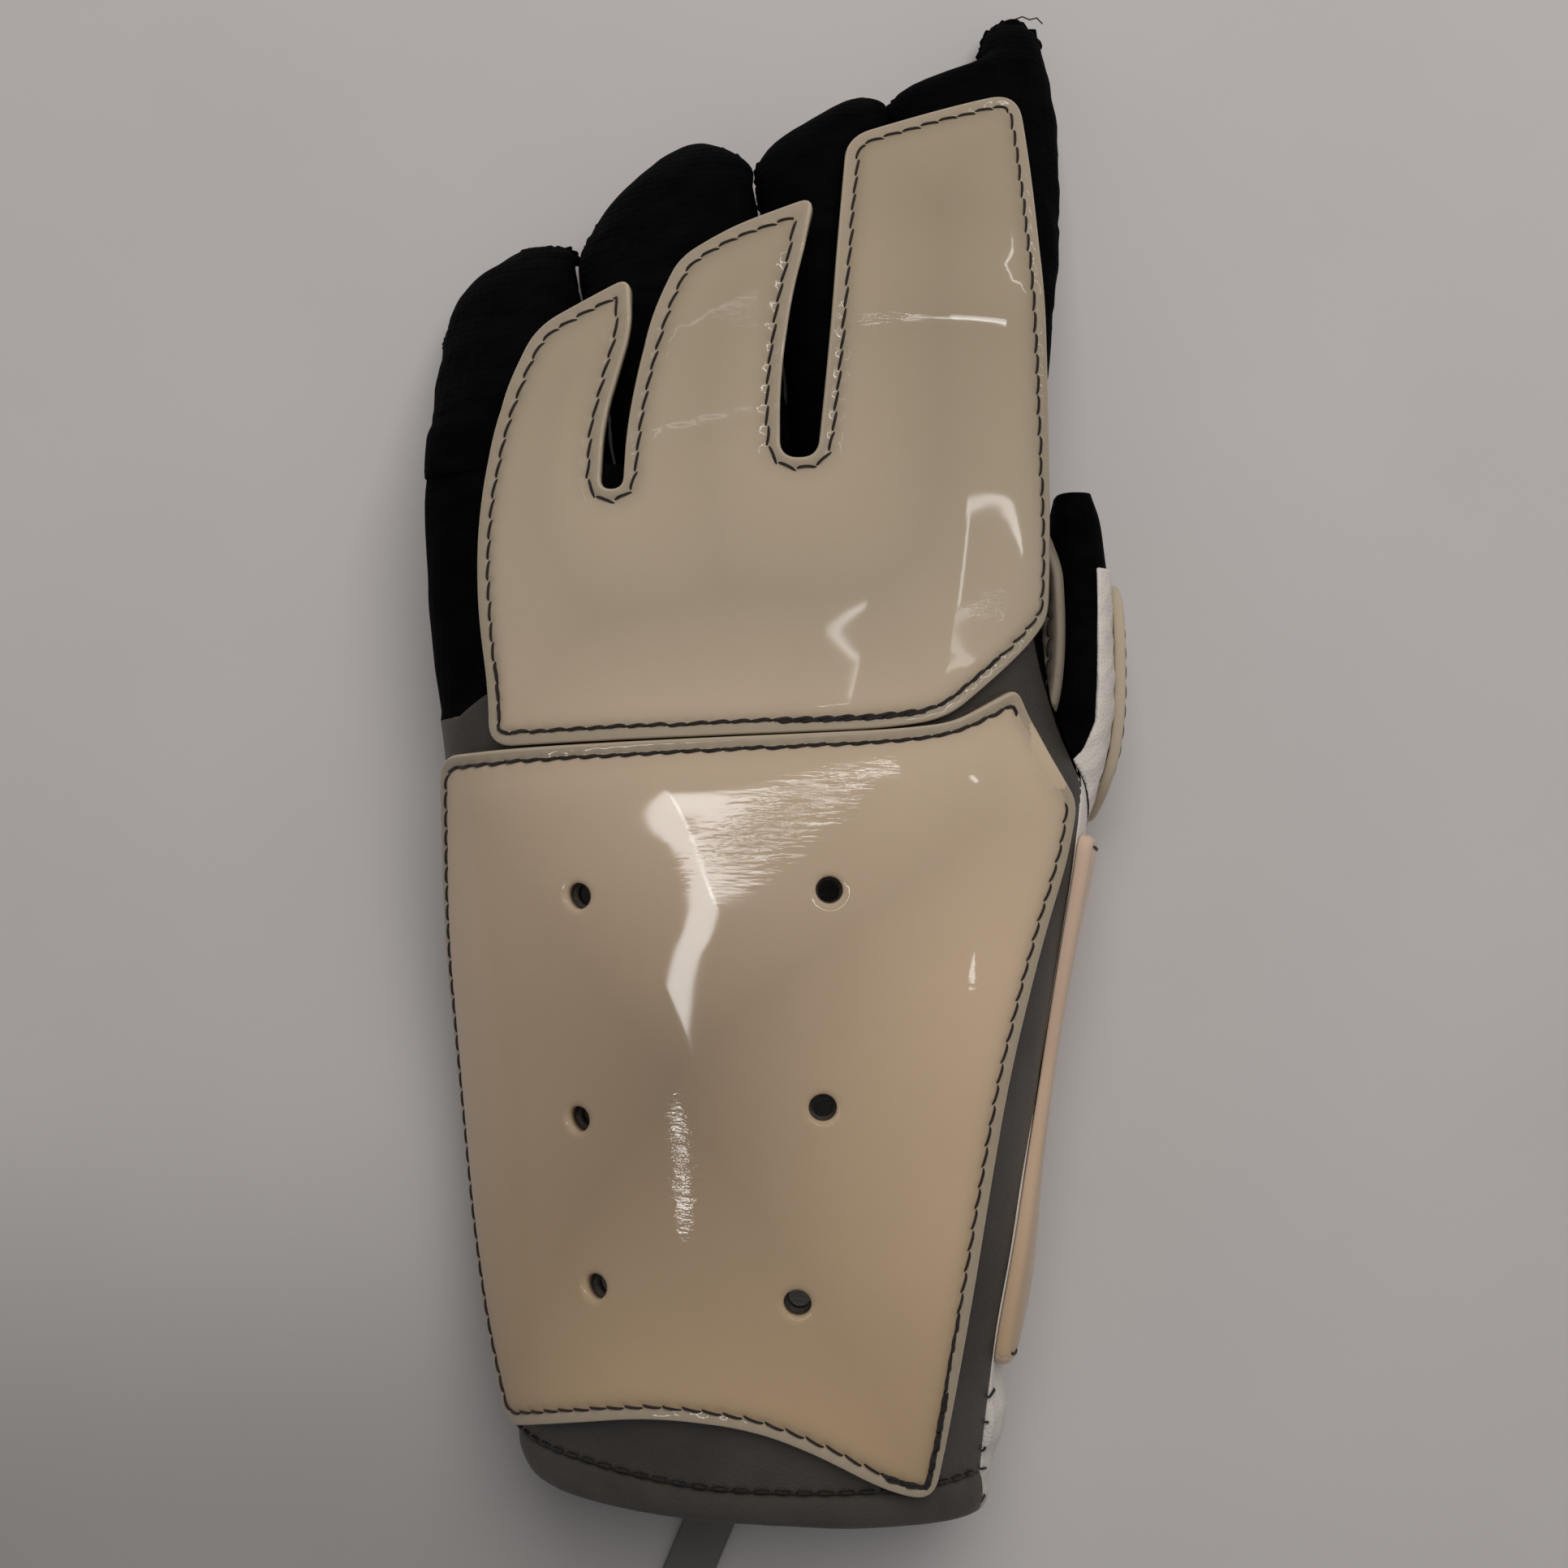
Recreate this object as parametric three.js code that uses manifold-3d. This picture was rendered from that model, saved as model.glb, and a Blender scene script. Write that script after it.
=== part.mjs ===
// A target-shooting glove for the left hand, with a long gauntlet, lying palm down.
// Millimetres. X runs to the thumb side, Y to the fingertips and Z up from the surface it lies on.
import * as THREE from "three";
import { mergeVertices } from "three/addons/utils/BufferGeometryUtils.js";
import Module from "manifold-3d";

const wasm = await Module();
wasm.setup();

// Driving dimensions
const LEATHER = 2;
const CLOTH = 1.8;
const RUBBER = 2.4;
const SEAT = 0.6;
const GAUNTLET_SEAT = 0.8;
const SEAM_GAP = 0.4;
const CUFF_END = -151;
const HEM_LINE = -140;
const WRIST = 16;
const KNUCKLES = 64;
const MOUTH_STEP = 0.4;
const KEEL_ROUND = 3.4;
const KEEL_SINK = 1.5;
const HOLE_RADIUS = 2.65;
const BEND_SOFTNESS = 14;

// Cross-sections of the hand and gauntlet, from the cuff to beyond the knuckles. left, crest and
// right are the x of the left side, of the highest line and of the right side. top and base are
// heights, leftSide and rightSide the heights of the widest points, and the two round columns say
// how square the shoulders are: 2 is an ellipse and more is squarer.
const BODY = table(
  "    y   left  crest right  top  base leftSide rightSide leftRound rightRound",
  [-156,  -51,    2,  43.0, 58.0,  0.0,  25,      27,      1.95,     2.1],
  [-148,  -53.5,  3,  43.8, 59.0,  0.0,  25,      27,      1.95,     2.1],
  [-138,  -57,    4.5, 44.6, 60.5, 0.5,  23,      27,      1.9,      2.2],
  [-120,  -62,    6,  47.0, 63.0,  3.0,  18,      26,      1.75,     2.5],
  [-98,   -65.5,  8,  50.0, 65.5,  3.0,  15,      25,      1.65,     2.7],
  [-77,   -67.7,  8,  51.8, 66.0,  3.0,  14,      25,      1.65,     2.8],
  [-55,   -70,    7,  54.8, 65.5,  3.0,  14,      25,      1.7,      2.9],
  [-34,   -71.8,  5,  58.8, 64.0,  3.0,  16,      25,      1.8,      2.8],
  [-13,   -72.6,  2,  63.5, 61.5,  3.0,  19,      26,      1.95,     2.6],
  [0,     -72.8,  0,  64.5, 60.0,  2.0,  22,      27,      2.1,      2.5],
  [12,    -73.6, -1,  59.5, 58.5,  0.0,  24,      27,      2.2,      2.4],
  [24,    -74.4, -2,  55.0, 58.0,  1.5,  26,      30,      2.2,      2.7],
  [40,    -75.4, -3,  53.6, 58.0,  8.0,  29,      34,      2.2,      2.9],
  [57,    -75.6, -3,  53.6, 57.5, 17.0,  32,      36,      2.2,      3.0],
  [72,    -75,   -3,  54.0, 57.0, 23.0,  33,      37,      2.2,      3.0],
  [100,   -73,   -3,  55.5, 57.0, 26.0,  33,      38,      2.2,      3.0],
  [160,   -70,   -3,  56.0, 57.0, 26.0,  33,      38,      2.2,      3.0],
);

// The seams between the back and the palm side, as distances round the section from x = 0 on top.
const SEAMS = table(
  "    y   left  right",
  [-156,   -82,   47],
  [-140,   -84,   46.5],
  [-111,   -98,   47.6],
  [-98,   -101,   51],
  [-72,   -103,   60],
  [-58,   -103,   65],
  [0,      -95,   66],
  [16,     -92,   68],
  [64,     -92,   66],
);

// The three finger lobes and where each starts to bend down. edge is the x of its right border at
// BORDER_Y and edgeLean its slope, bendX and bendY a point of the bend line, lean the slope of that
// line and tilt the slope of the lobe beyond it.
const BORDER_Y = 60;
const LOBES = table(
  "edge edgeLean bendX  bendY  lean  tilt",
  [-34,  0.18,   -53.6, 77,    0.66, 0.8],
  [3,    0.12,   -24,   88.6,  0.63, 0.75],
  [999,  0,       14,   92,    0,    0.45],
);

// The fingers, from the knuckles to the tip: y and the x of both sides.
const FINGERS = [
  {
    name: "finger_little", lobe: 0, top: 48.6, base: 22, tipRun: 17, tipKeeps: 0.2, hollowTo: 110,
    rows: table(
      "   y   left   right",
      [64,    -75.0, -35.0],
      [78,    -74.9, -37.6],
      [92,    -74.8, -40.9],
      [100,   -74.4, -42.8],
      [106,   -73.2, -44.4],
      [111,   -71.0, -45.6],
      [114,   -68.6, -46.2],
      [116.5, -64.5, -46.4],
      [118.6, -61.0, -48.0],
      [120.3, -58.2, -54.0],
    ),
  },
  {
    name: "finger_ring", lobe: 1, top: 55.4, base: 22, tipRun: 18, tipKeeps: 0.2, hollowTo: 132,
    rows: table(
      "   y   left   right",
      [64,    -34.3,   2.2],
      [80,    -37.4,   0.2],
      [98,    -41.4,  -2.4],
      [112,   -44.8,  -4.6],
      [115,   -45.0,  -5.0],
      [120,   -43.5,  -5.6],
      [125,   -41.1,  -6.2],
      [130,   -37.6,  -6.8],
      [134,   -34.1,  -7.2],
      [138,   -29.8, -10.4],
      [141,   -25.4, -14.4],
      [143.3, -21.0, -18.0],
    ),
  },
  {
    name: "finger_middle", lobe: 2, top: 55.4, base: 22, tipRun: 20, tipKeeps: 0.2, hollowTo: 142,
    rows: table(
      "   y   left   right",
      [64,    2.9,  27.4],
      [80,    0.9,  26.6],
      [98,   -1.7,  25.6],
      [118,  -4.3,  24.2],
      [131,  -5.9,  23.0],
      [134,  -5.0,  22.7],
      [137,  -2.4,  22.5],
      [140,   1.2,  22.4],
      [143,   5.0,  22.3],
      [146,   9.4,  22.2],
      [148,  11.9,  22.0],
      [150,  15.6,  18.6],
    ),
  },
  {
    name: "finger_index", lobe: 2, top: 51, base: 24, tipRun: 34, tipKeeps: 0.3, hollowTo: 150,
    rows: table(
      "   y   left   right",
      [64,   28.1,  53.0],
      [80,   27.3,  54.2],
      [98,   26.3,  56.0],
      [111,  25.4,  57.8],
      [127,  24.2,  59.1],
      [143,  23.3,  59.3],
      [149,  23.2,  58.9],
      [152.5, 26.6, 58.8],
      [155.3, 32.1, 58.6],
      [157.6, 38.5, 58.2],
      [160.5, 43.6, 57.6],
      [163,  44.3,  57.2],
      [167,  45.2,  56.3],
      [169,  46.2,  54.8],
      [171,  49.1,  53.0],
    ),
  },
];

// The thumb, which stands on edge beside the hand, from inside the gauntlet to its tip.
const THUMB = table(
  "  y   left  right  top   base",
  [-24,  44,   58,   34,  15],
  [-10,  48,   63.6, 37,  14],
  [0,    51.6, 66.8, 39,   9],
  [8,    54,   69,   40,   5],
  [18,   55.4, 70,   40.5, 2.5],
  [34,   56.2, 69.8, 40,   3],
  [47,   56.8, 68.8, 39,   5],
  [56,   57.4, 67.8, 36,   9],
  [62,   58.6, 66.2, 31,  14],
);
const THUMB_ROUND = 2.6;
const THUMB_HOLLOW_TO = 57;
const THUMB_SEAM_X = 65.2;
const THUMB_SEAM_END = 45;

// Outlines of the flat sheets before bending: across is the distance from x = 0 measured over the
// surface, along is y, and round is how far each corner is cut back.
const FOREARM_OUTLINE = table(
  "across along  round",
  [-76,    6,    6],
  [-56,    7.1, 10],
  [0,      9.3, 20],
  [22,    10.4,  6],
  [33,    11.8,  4],
  [43,    17.4,  4],
  [47,    19.4,  3],
  [49.4,  14.2,  3],
  [55.6,   2.8,  3],
  [60.8,  -4,    3],
  [58.8, -14,    5],
  [52,   -32,   10],
  [44.4, -57,   12],
  [37.7, -94.5, 15],
  [31.6, -132,   8],
  [29.6, -142.4, 5],
  [20.6, -139.5, 8],
  [5.7,  -130.4, 9],
  [-7,   -126,   8],
  [-26,  -125.6, 10],
  [-48,  -130.6, 10],
  [-66,  -135.4, 6],
  [-71,  -127,   6],
  [-79,  -110,  10],
  [-85,  -88,   12],
  [-86.5, -60,  14],
  [-84.5, -32,  14],
  [-79,   -6,    8],
);
const HOLES = table(
  "across along",
  [-41.2, -22.3],
  [-43,   -67.4],
  [-39.2, -101.1],
  [8.8,   -21],
  [7.6,   -62.7],
  [2.9,   -100.5],
);
const HAND_OUTLINE = table(
  "across along round",
  [-60.8,   7.8,  6],
  [0,      10.0, 20],
  [21,     11.0,  8],
  [32,     13.0,  5],
  [48.5,   27,    8],
  [55.6,   34.6,  3],
  [56,     44,    5],
  [53.6,   78,   14],
  [52,    104,   12],
  [51,    126,   10],
  [49.2,  145.4,  7],
  [12.8,  132,    5],
  [11,    112,   10],
  [8.6,    84,   10],
  [6.6,    64.6,  3.4],
  [-0.8,   64.6,  3.4],
  [-0.8,   80,    8],
  [1.6,    97,    6],
  [6.6,   116,    3],
  [-10,   110.2,  6],
  [-20,   104.4,  4],
  [-27,    90,    8],
  [-31,    72,    8],
  [-31.8,  58.6,  2.2],
  [-36.4,  58.6,  2.2],
  [-35.6,  72,    6],
  [-30.2,  90,    4],
  [-30,   100.4,  3],
  [-49.2,  91.2,  5],
  [-57.6,  75,    8],
  [-62,    54,   10],
  [-62.6,  36,   10],
  [-60.4,  18,    8],
);
const UNDER_OUTLINE = table(
  "across along round",
  [66.6,  -12,   4],
  [65.9,  -24,   8],
  [66.2,  -46,  10],
  [67,    -60,   5],
  [61.4,  -72.5, 5],
  [56.4,  -85,   8],
  [52,    -98,   8],
  [49.2, -109,   5],
  [47.8, -118,   3],
  [53,   -119.5, 3],
  [61,   -111,   6],
  [76,   -108,  10],
  [152,  -108,  12],
  [152,   -12,  12],
  [92,    -12,  12],
);
const THUMB_OUTER_OUTLINE = table(
  "across along  round",
  [13,   10,   6],
  [13,   22,   9],
  [13.5, 34,   6],
  [16,   41,   5],
  [24,   44,   6],
  [34,   40,   8],
  [37,   14,  10],
  [33,   -3,   6],
  [24,   -8,   5],
  [17,    0,   5],
);
const THUMB_INNER_OUTLINE = table(
  "across along round",
  [-5.6, 11,  3],
  [-5,   30,  8],
  [-5.8, 46,  4],
  [-11,  55,  5],
  [-23,  51,  6],
  [-29,  36,  8],
  [-29,  16,  6],
  [-20,   9,  5],
);

function table(heads, ...rows) {
  const names = heads.trim().split(/\s+/);
  return rows.map((row) => Object.fromEntries(names.map((name, i) => [name, row[i]])));
}

// Smooth reading of a table between its rows
function rowAt(rows, y) {
  let i = 0;
  while (i < rows.length - 2 && rows[i + 1].y <= y) i += 1;
  const from = rows[i];
  const to = rows[i + 1];
  const before = rows[Math.max(i - 1, 0)];
  const after = rows[Math.min(i + 2, rows.length - 1)];
  const span = to.y - from.y;
  const t = THREE.MathUtils.clamp((y - from.y) / span, 0, 1);
  const row = { y };
  for (const name of Object.keys(from).filter((key) => key !== "y")) {
    const leaving = ((to[name] - before[name]) / (to.y - before.y)) * span;
    const arriving = ((after[name] - from[name]) / (after.y - from.y)) * span;
    row[name] =
      (2 * t ** 3 - 3 * t ** 2 + 1) * from[name] + (t ** 3 - 2 * t ** 2 + t) * leaving +
      (3 * t ** 2 - 2 * t ** 3) * to[name] + (t ** 3 - t ** 2) * arriving;
  }
  return row;
}

// One quarter-ellipse corner after another, squarer with a higher round value
function roundedSection(row, turn) {
  const c = Math.cos(turn);
  const s = Math.sin(turn);
  const isRight = c >= 0;
  const upper = isRight ? row.rightRound : row.leftRound;
  const power = 2 / (s >= 0 ? upper : row.lowRound);
  const reach = isRight ? row.right - row.crest : row.crest - row.left;
  const side = isRight ? row.rightSide : row.leftSide;
  const rise = s >= 0 ? row.top - side : side - row.base;
  const x = row.crest + Math.sign(c) * reach * Math.abs(c) ** power;
  const z = side + Math.sign(s) * rise * Math.abs(s) ** power;
  return [x, z];
}

// How far a finger lobe has bent down at a place beyond the knuckles
function lobeDrop(lobe, x, y) {
  const past = y - (lobe.bendY + lobe.lean * (x - lobe.bendX));
  if (past <= 0) return 0;
  if (past < BEND_SOFTNESS) return (lobe.tilt * past * past) / (2 * BEND_SOFTNESS);
  return lobe.tilt * (past - BEND_SOFTNESS / 2);
}

function lobeAt(x, y) {
  return LOBES.find((lobe) => x <= lobe.edge + lobe.edgeLean * (y - BORDER_Y));
}

// A surface given by its section at each y. Each section is read as a closed line that starts at
// the keel and runs up the left side, over the top and down the right side, and a point on it is
// named by its distance over the surface from x = zero on top.
const SECTION_STEPS = 240;

function surfaceOf(sectionAt, settle) {
  const lines = new Map();

  function line(y) {
    const key = Math.round(y * 100);
    if (lines.has(key)) return lines.get(key);
    const section = sectionAt(y);
    const points = [];
    let distance = 0;
    let zeroDistance = 0;
    for (let i = 0; i <= SECTION_STEPS; i += 1) {
      const turn = Math.PI * (1.5 - (2 * i) / SECTION_STEPS);
      const [x, z] = roundedSection(section, turn);
      const point = { x, z: Math.max(z, section.floor), distance: 0 };
      const last = points.at(-1);
      if (last) distance += Math.hypot(point.x - last.x, point.z - last.z);
      if (last && last.x < section.zero && x >= section.zero && Math.sin(turn) > 0) {
        const beyond = (x - section.zero) / (x - last.x);
        zeroDistance = distance - beyond * (distance - last.distance);
      }
      point.distance = distance;
      points.push(point);
    }
    for (const point of points) point.distance -= zeroDistance;
    lines.set(key, points);
    return points;
  }

  function around(y) {
    return line(y).at(-1).distance - line(y)[0].distance;
  }

  function point(across, y) {
    const points = line(y);
    let reach = across;
    if (reach > points.at(-1).distance) reach -= around(y);
    if (reach < points[0].distance) reach += around(y);
    let low = 0;
    let high = points.length - 1;
    while (high - low > 1) {
      const middle = (low + high) >> 1;
      if (points[middle].distance <= reach) low = middle;
      else high = middle;
    }
    const from = points[low];
    const to = points[high];
    const t = (reach - from.distance) / Math.max(to.distance - from.distance, 1e-9);
    const x = THREE.MathUtils.lerp(from.x, to.x, t);
    const z = THREE.MathUtils.lerp(from.z, to.z, t);
    return new THREE.Vector3(x, y, z - settle(x, y));
  }

  return { line, around, point };
}

function bodySection(y) {
  const row = rowAt(BODY, y);
  const floor = Math.max(row.base, 0);
  return { ...row, floor, base: row.base - KEEL_SINK, lowRound: KEEL_ROUND, zero: 0 };
}

function thumbSection(y) {
  const row = rowAt(THUMB, y);
  const crest = (row.left + row.right) / 2;
  const side = (row.top + row.base) / 2;
  return {
    ...row,
    crest,
    leftSide: side,
    rightSide: side,
    leftRound: THUMB_ROUND,
    rightRound: THUMB_ROUND,
    lowRound: THUMB_ROUND,
    floor: row.base,
    zero: crest,
  };
}

const body = surfaceOf(bodySection, (x, y) => (y > KNUCKLES ? lobeDrop(lobeAt(x, y), x, y) : 0));
const thumb = surfaceOf(thumbSection, () => 0);

// The same point, moved out along the surface normal
function lifted(surface, across, y, lift) {
  const step = 0.5;
  const over = surface.point(across + step, y).sub(surface.point(across - step, y));
  const along = surface.point(across, y + step).sub(surface.point(across, y - step));
  const normal = over.cross(along).normalize();
  return surface.point(across, y).addScaledVector(normal, lift);
}

// A closed mesh gathered from four-sided and three-sided faces
class Skin {
  constructor() {
    this.positions = [];
  }

  face(a, b, c) {
    for (const p of [a, b, c]) this.positions.push(p.x, p.y, p.z);
  }

  quad(a, b, c, d) {
    this.face(a, b, c);
    this.face(a, c, d);
  }

  // Rows of points that face out when they run left to right over the top
  grid(rows, facesOut) {
    for (let j = 0; j < rows.length - 1; j += 1) {
      this.strip(rows[j], rows[j + 1], facesOut);
    }
  }

  strip(near, far, facesOut) {
    for (let i = 0; i < near.length - 1; i += 1) {
      if (facesOut) this.quad(near[i], near[i + 1], far[i + 1], far[i]);
      else this.quad(near[i], far[i], far[i + 1], near[i + 1]);
    }
  }

  cap(ring, facesOut) {
    const middle = new THREE.Vector3();
    for (const p of ring.slice(1)) middle.add(p);
    middle.divideScalar(ring.length - 1);
    for (let i = 0; i < ring.length - 1; i += 1) {
      if (facesOut) this.face(ring[i], ring[i + 1], middle);
      else this.face(ring[i + 1], ring[i], middle);
    }
  }

  geometry() {
    const geometry = new THREE.BufferGeometry();
    geometry.setAttribute("position", new THREE.Float32BufferAttribute(this.positions, 3));
    return geometry;
  }
}

function steps(from, to, count) {
  return Array.from({ length: count + 1 }, (_, i) => THREE.MathUtils.lerp(from, to, i / count));
}

// A wall patch between two lines that run along the body, closed on all four edges
function wallPatch(ys, across, columns, wall) {
  const outer = [];
  const inner = [];
  for (const y of ys) {
    const [left, right] = across(y);
    const places = steps(left, right, columns);
    outer.push(places.map((s) => body.point(s, y)));
    inner.push(places.map((s) => lifted(body, s, y, -wall)));
  }
  const skin = new Skin();
  skin.grid(outer, true);
  skin.grid(inner, false);
  skin.strip(inner[0], outer[0], true);
  skin.strip(outer.at(-1), inner.at(-1), true);
  for (let j = 0; j < ys.length - 1; j += 1) {
    skin.quad(inner[j][0], outer[j][0], outer[j + 1][0], inner[j + 1][0]);
    skin.quad(inner[j].at(-1), inner[j + 1].at(-1), outer[j + 1].at(-1), outer[j].at(-1));
  }
  return skin.geometry();
}

// A tube that is open at its first row and closed at its last
function closedFinger(outerRows, innerRows) {
  const skin = new Skin();
  skin.grid(outerRows, true);
  skin.cap(outerRows.at(-1), true);
  skin.grid(innerRows, false);
  skin.cap(innerRows.at(-1), false);
  skin.strip(innerRows[0], outerRows[0], true);
  return skin.geometry();
}

function solidLoft(rows) {
  const skin = new Skin();
  skin.grid(rows, true);
  skin.cap(rows[0], false);
  skin.cap(rows.at(-1), true);
  return skin.geometry();
}

function ringTurns(count) {
  return steps(Math.PI, -Math.PI, count);
}

// Outline with each corner cut back by its round value and bridged by a curve
function outlineShape(corners) {
  const shape = new THREE.Shape();
  const points = corners.map((c) => new THREE.Vector2(c.across, c.along));
  corners.forEach((corner, i) => {
    const here = points[i];
    const before = points.at(i - 1);
    const after = points[(i + 1) % points.length];
    const cut = (end) => Math.min(corner.round, here.distanceTo(end) * 0.49);
    const start = here.clone().lerp(before, cut(before) / here.distanceTo(before));
    const stop = here.clone().lerp(after, cut(after) / here.distanceTo(after));
    if (i === 0) shape.moveTo(start.x, start.y);
    else shape.lineTo(start.x, start.y);
    shape.quadraticCurveTo(here.x, here.y, stop.x, stop.y);
  });
  shape.closePath();
  return shape;
}

// Closed geometry to a solid for cutting, and back
function welded(geometry) {
  const bare = geometry.clone();
  bare.deleteAttribute("normal");
  bare.deleteAttribute("uv");
  return mergeVertices(bare, 1e-3);
}

function toSolid(geometry) {
  const merged = welded(geometry);
  return new wasm.Manifold(new wasm.Mesh({
    numProp: 3,
    vertProperties: new Float32Array(merged.attributes.position.array),
    triVerts: new Uint32Array(merged.index.array),
  }));
}

function fromSolid(solid) {
  const mesh = solid.getMesh();
  const geometry = new THREE.BufferGeometry();
  geometry.setAttribute("position", new THREE.BufferAttribute(mesh.vertProperties, 3));
  geometry.setIndex(new THREE.BufferAttribute(mesh.triVerts, 1));
  return geometry;
}

// A sheet cut to an outline and laid over a surface. The sheet starts as a shallow bowl with an
// even grid, so that the grid is kept when the outline is cut out of it.
const BOWL = 0.004;
const bowlHeight = (across, along) => BOWL * (across ** 2 + along ** 2);

function bowlSlab(bounds, cell) {
  const { min, max } = bounds;
  const overs = steps(min.x, max.x, Math.ceil((max.x - min.x) / cell.across));
  const alongs = steps(min.y, max.y, Math.ceil((max.y - min.y) / cell.along));
  const layer = (level) => alongs.map((v) =>
    overs.map((u) => new THREE.Vector3(u, v, bowlHeight(u, v) + level)));
  const upper = layer(1);
  const lower = layer(0);
  const skin = new Skin();
  skin.grid(upper, true);
  skin.grid(lower, false);
  skin.strip(lower[0], upper[0], true);
  skin.strip(upper.at(-1), lower.at(-1), true);
  for (let j = 0; j < alongs.length - 1; j += 1) {
    skin.quad(lower[j][0], upper[j][0], upper[j + 1][0], lower[j + 1][0]);
    skin.quad(upper[j].at(-1), lower[j].at(-1), lower[j + 1].at(-1), upper[j + 1].at(-1));
  }
  return toSolid(skin.geometry());
}

function punchedHole({ across, along }, depth) {
  const drill = new THREE.CylinderGeometry(HOLE_RADIUS, HOLE_RADIUS, depth, 14);
  drill.rotateX(Math.PI / 2);
  drill.translate(across, along, depth / 2 - 1);
  return toSolid(drill);
}

function bentSheet(surface, shape, { thickness, seat, cell, holes = [] }) {
  const curveSegments = 3;
  const outline = shape.getPoints(curveSegments);
  const bounds = new THREE.Box2().setFromPoints(outline).expandByScalar(1);
  const depth = bowlHeight(200, 200) + 4;
  const cutter = new THREE.ExtrudeGeometry(shape, { depth, bevelEnabled: false, curveSegments });
  cutter.translate(0, 0, -1);
  let solid = bowlSlab(bounds, cell).intersect(toSolid(cutter));
  for (const hole of holes) solid = solid.subtract(punchedHole(hole, depth));
  const sheet = fromSolid(solid);
  const position = sheet.attributes.position;
  for (let i = 0; i < position.count; i += 1) {
    const across = position.getX(i);
    const along = position.getY(i);
    const level = Math.round(position.getZ(i) - bowlHeight(across, along));
    const place = lifted(surface, across, along, seat + thickness * level);
    position.setXYZ(i, place.x, place.y, Math.max(place.z, 0));
  }
  return sheet;
}

function blackCloth() {
  return new THREE.MeshStandardMaterial({ color: 0x0b0b0d, roughness: 0.95, metalness: 0 });
}

function greyLeather() {
  return new THREE.MeshStandardMaterial({ color: 0x6a625c, roughness: 0.6, metalness: 0 });
}

function whiteLeather() {
  return new THREE.MeshStandardMaterial({ color: 0xd8d0c6, roughness: 0.7, metalness: 0 });
}

function creamRubber() {
  return new THREE.MeshStandardMaterial({ color: 0xe2cfae, roughness: 0.15, metalness: 0 });
}

function peachRubber() {
  return new THREE.MeshStandardMaterial({ color: 0xe6c8a8, roughness: 0.3, metalness: 0 });
}

function tapeWeave() {
  return new THREE.MeshStandardMaterial({ color: 0xd9d6d0, roughness: 0.8, metalness: 0 });
}

// The gauntlet and the hand
const seamLeft = (y) => rowAt(SEAMS, y).left;
const seamRight = (y) => rowAt(SEAMS, y).right;
const backSpan = (y) => [seamLeft(y), seamRight(y)];

const palmSpan = (y) => [seamRight(y) + SEAM_GAP, seamLeft(y) + body.around(y) - SEAM_GAP];
const GAUNTLET_ROWS = steps(HEM_LINE, WRIST - MOUTH_STEP, 13);
const HAND_ROWS = steps(WRIST, KNUCKLES - MOUTH_STEP, 5);

function gauntletBackGeometry() {
  return openedForThumb(wallPatch(GAUNTLET_ROWS, backSpan, 20, LEATHER));
}

function handClothGeometry() {
  return openedForThumb(wallPatch(HAND_ROWS, backSpan, 20, CLOTH));
}

function palmLeatherGeometry() {
  const rows = [CUFF_END, ...GAUNTLET_ROWS, ...HAND_ROWS.slice(1)];
  return openedForThumb(wallPatch(rows, palmSpan, 18, LEATHER));
}

// The rolled hem: a flattened roll that follows the back of the cuff
function cuffHemGeometry() {
  const rollHigh = 3.6;
  const rollLong = 8.4;
  const sides = 8;
  const columns = 22;
  const middle = HEM_LINE - SEAM_GAP - rollLong / 2;
  const skin = new Skin();
  const sections = steps(seamLeft(middle), seamRight(middle), columns).map((across) =>
    steps(0, 2 * Math.PI, sides).map((turn) => {
      const y = middle - (rollLong / 2) * Math.cos(turn);
      return lifted(body, across, y, -LEATHER / 2 + (rollHigh / 2) * Math.sin(turn));
    }),
  );
  skin.grid(sections, false);
  skin.cap(sections[0], true);
  skin.cap(sections.at(-1), false);
  return skin.geometry();
}

// The tape sewn inside the cuff, lying out over its edge
function sizeTapeGeometry() {
  const wide = 12;
  const thick = 0.9;
  const lean = -0.42;
  const profile = table(
    "   y    z",
    [-139,  2.9],
    [-148,  2.5],
    [-155,  2.4],
    [-164,  1.8],
    [-173,  1.0],
    [-181,  1.6],
  );
  const rows = profile.map((p) => {
    const x = -8 + lean * (-146 - p.y);
    const corner = (dx, dz) => new THREE.Vector3(x + dx, p.y, p.z + dz);
    return [corner(-wide / 2, 0), corner(-wide / 2, thick), corner(wide / 2, thick),
      corner(wide / 2, 0), corner(-wide / 2, 0)];
  });
  const skin = new Skin();
  skin.grid(rows.reverse(), true);
  skin.cap(rows[0], false);
  skin.cap(rows.at(-1), true);
  return skin.geometry();
}

// One finger: a black cloth tube that narrows to its tip and bends with the lobe over it
function fingerRing(finger, y, inset, turns) {
  const row = rowAt(finger.rows, y);
  const tip = finger.rows.at(-1).y;
  const into = Math.max(0, (y - (tip - finger.tipRun)) / finger.tipRun);
  const keeps = Math.max(finger.tipKeeps, (1 - into ** 2.2) ** 0.5);
  const middle = (finger.top + finger.base) / 2;
  const half = ((finger.top - finger.base) / 2) * keeps;
  const section = {
    left: row.left + inset,
    right: row.right - inset,
    crest: (row.left + row.right) / 2,
    top: middle + half - inset,
    base: middle - half + inset,
    leftSide: middle,
    rightSide: middle,
    leftRound: 2.2,
    rightRound: 2.2,
    lowRound: 2.6,
  };
  return turns.map((turn) => {
    const [x, z] = roundedSection(section, turn);
    const drop = lobeDrop(LOBES[finger.lobe], x, y);
    return new THREE.Vector3(x, y, Math.max(z - drop, inset));
  });
}

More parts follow.
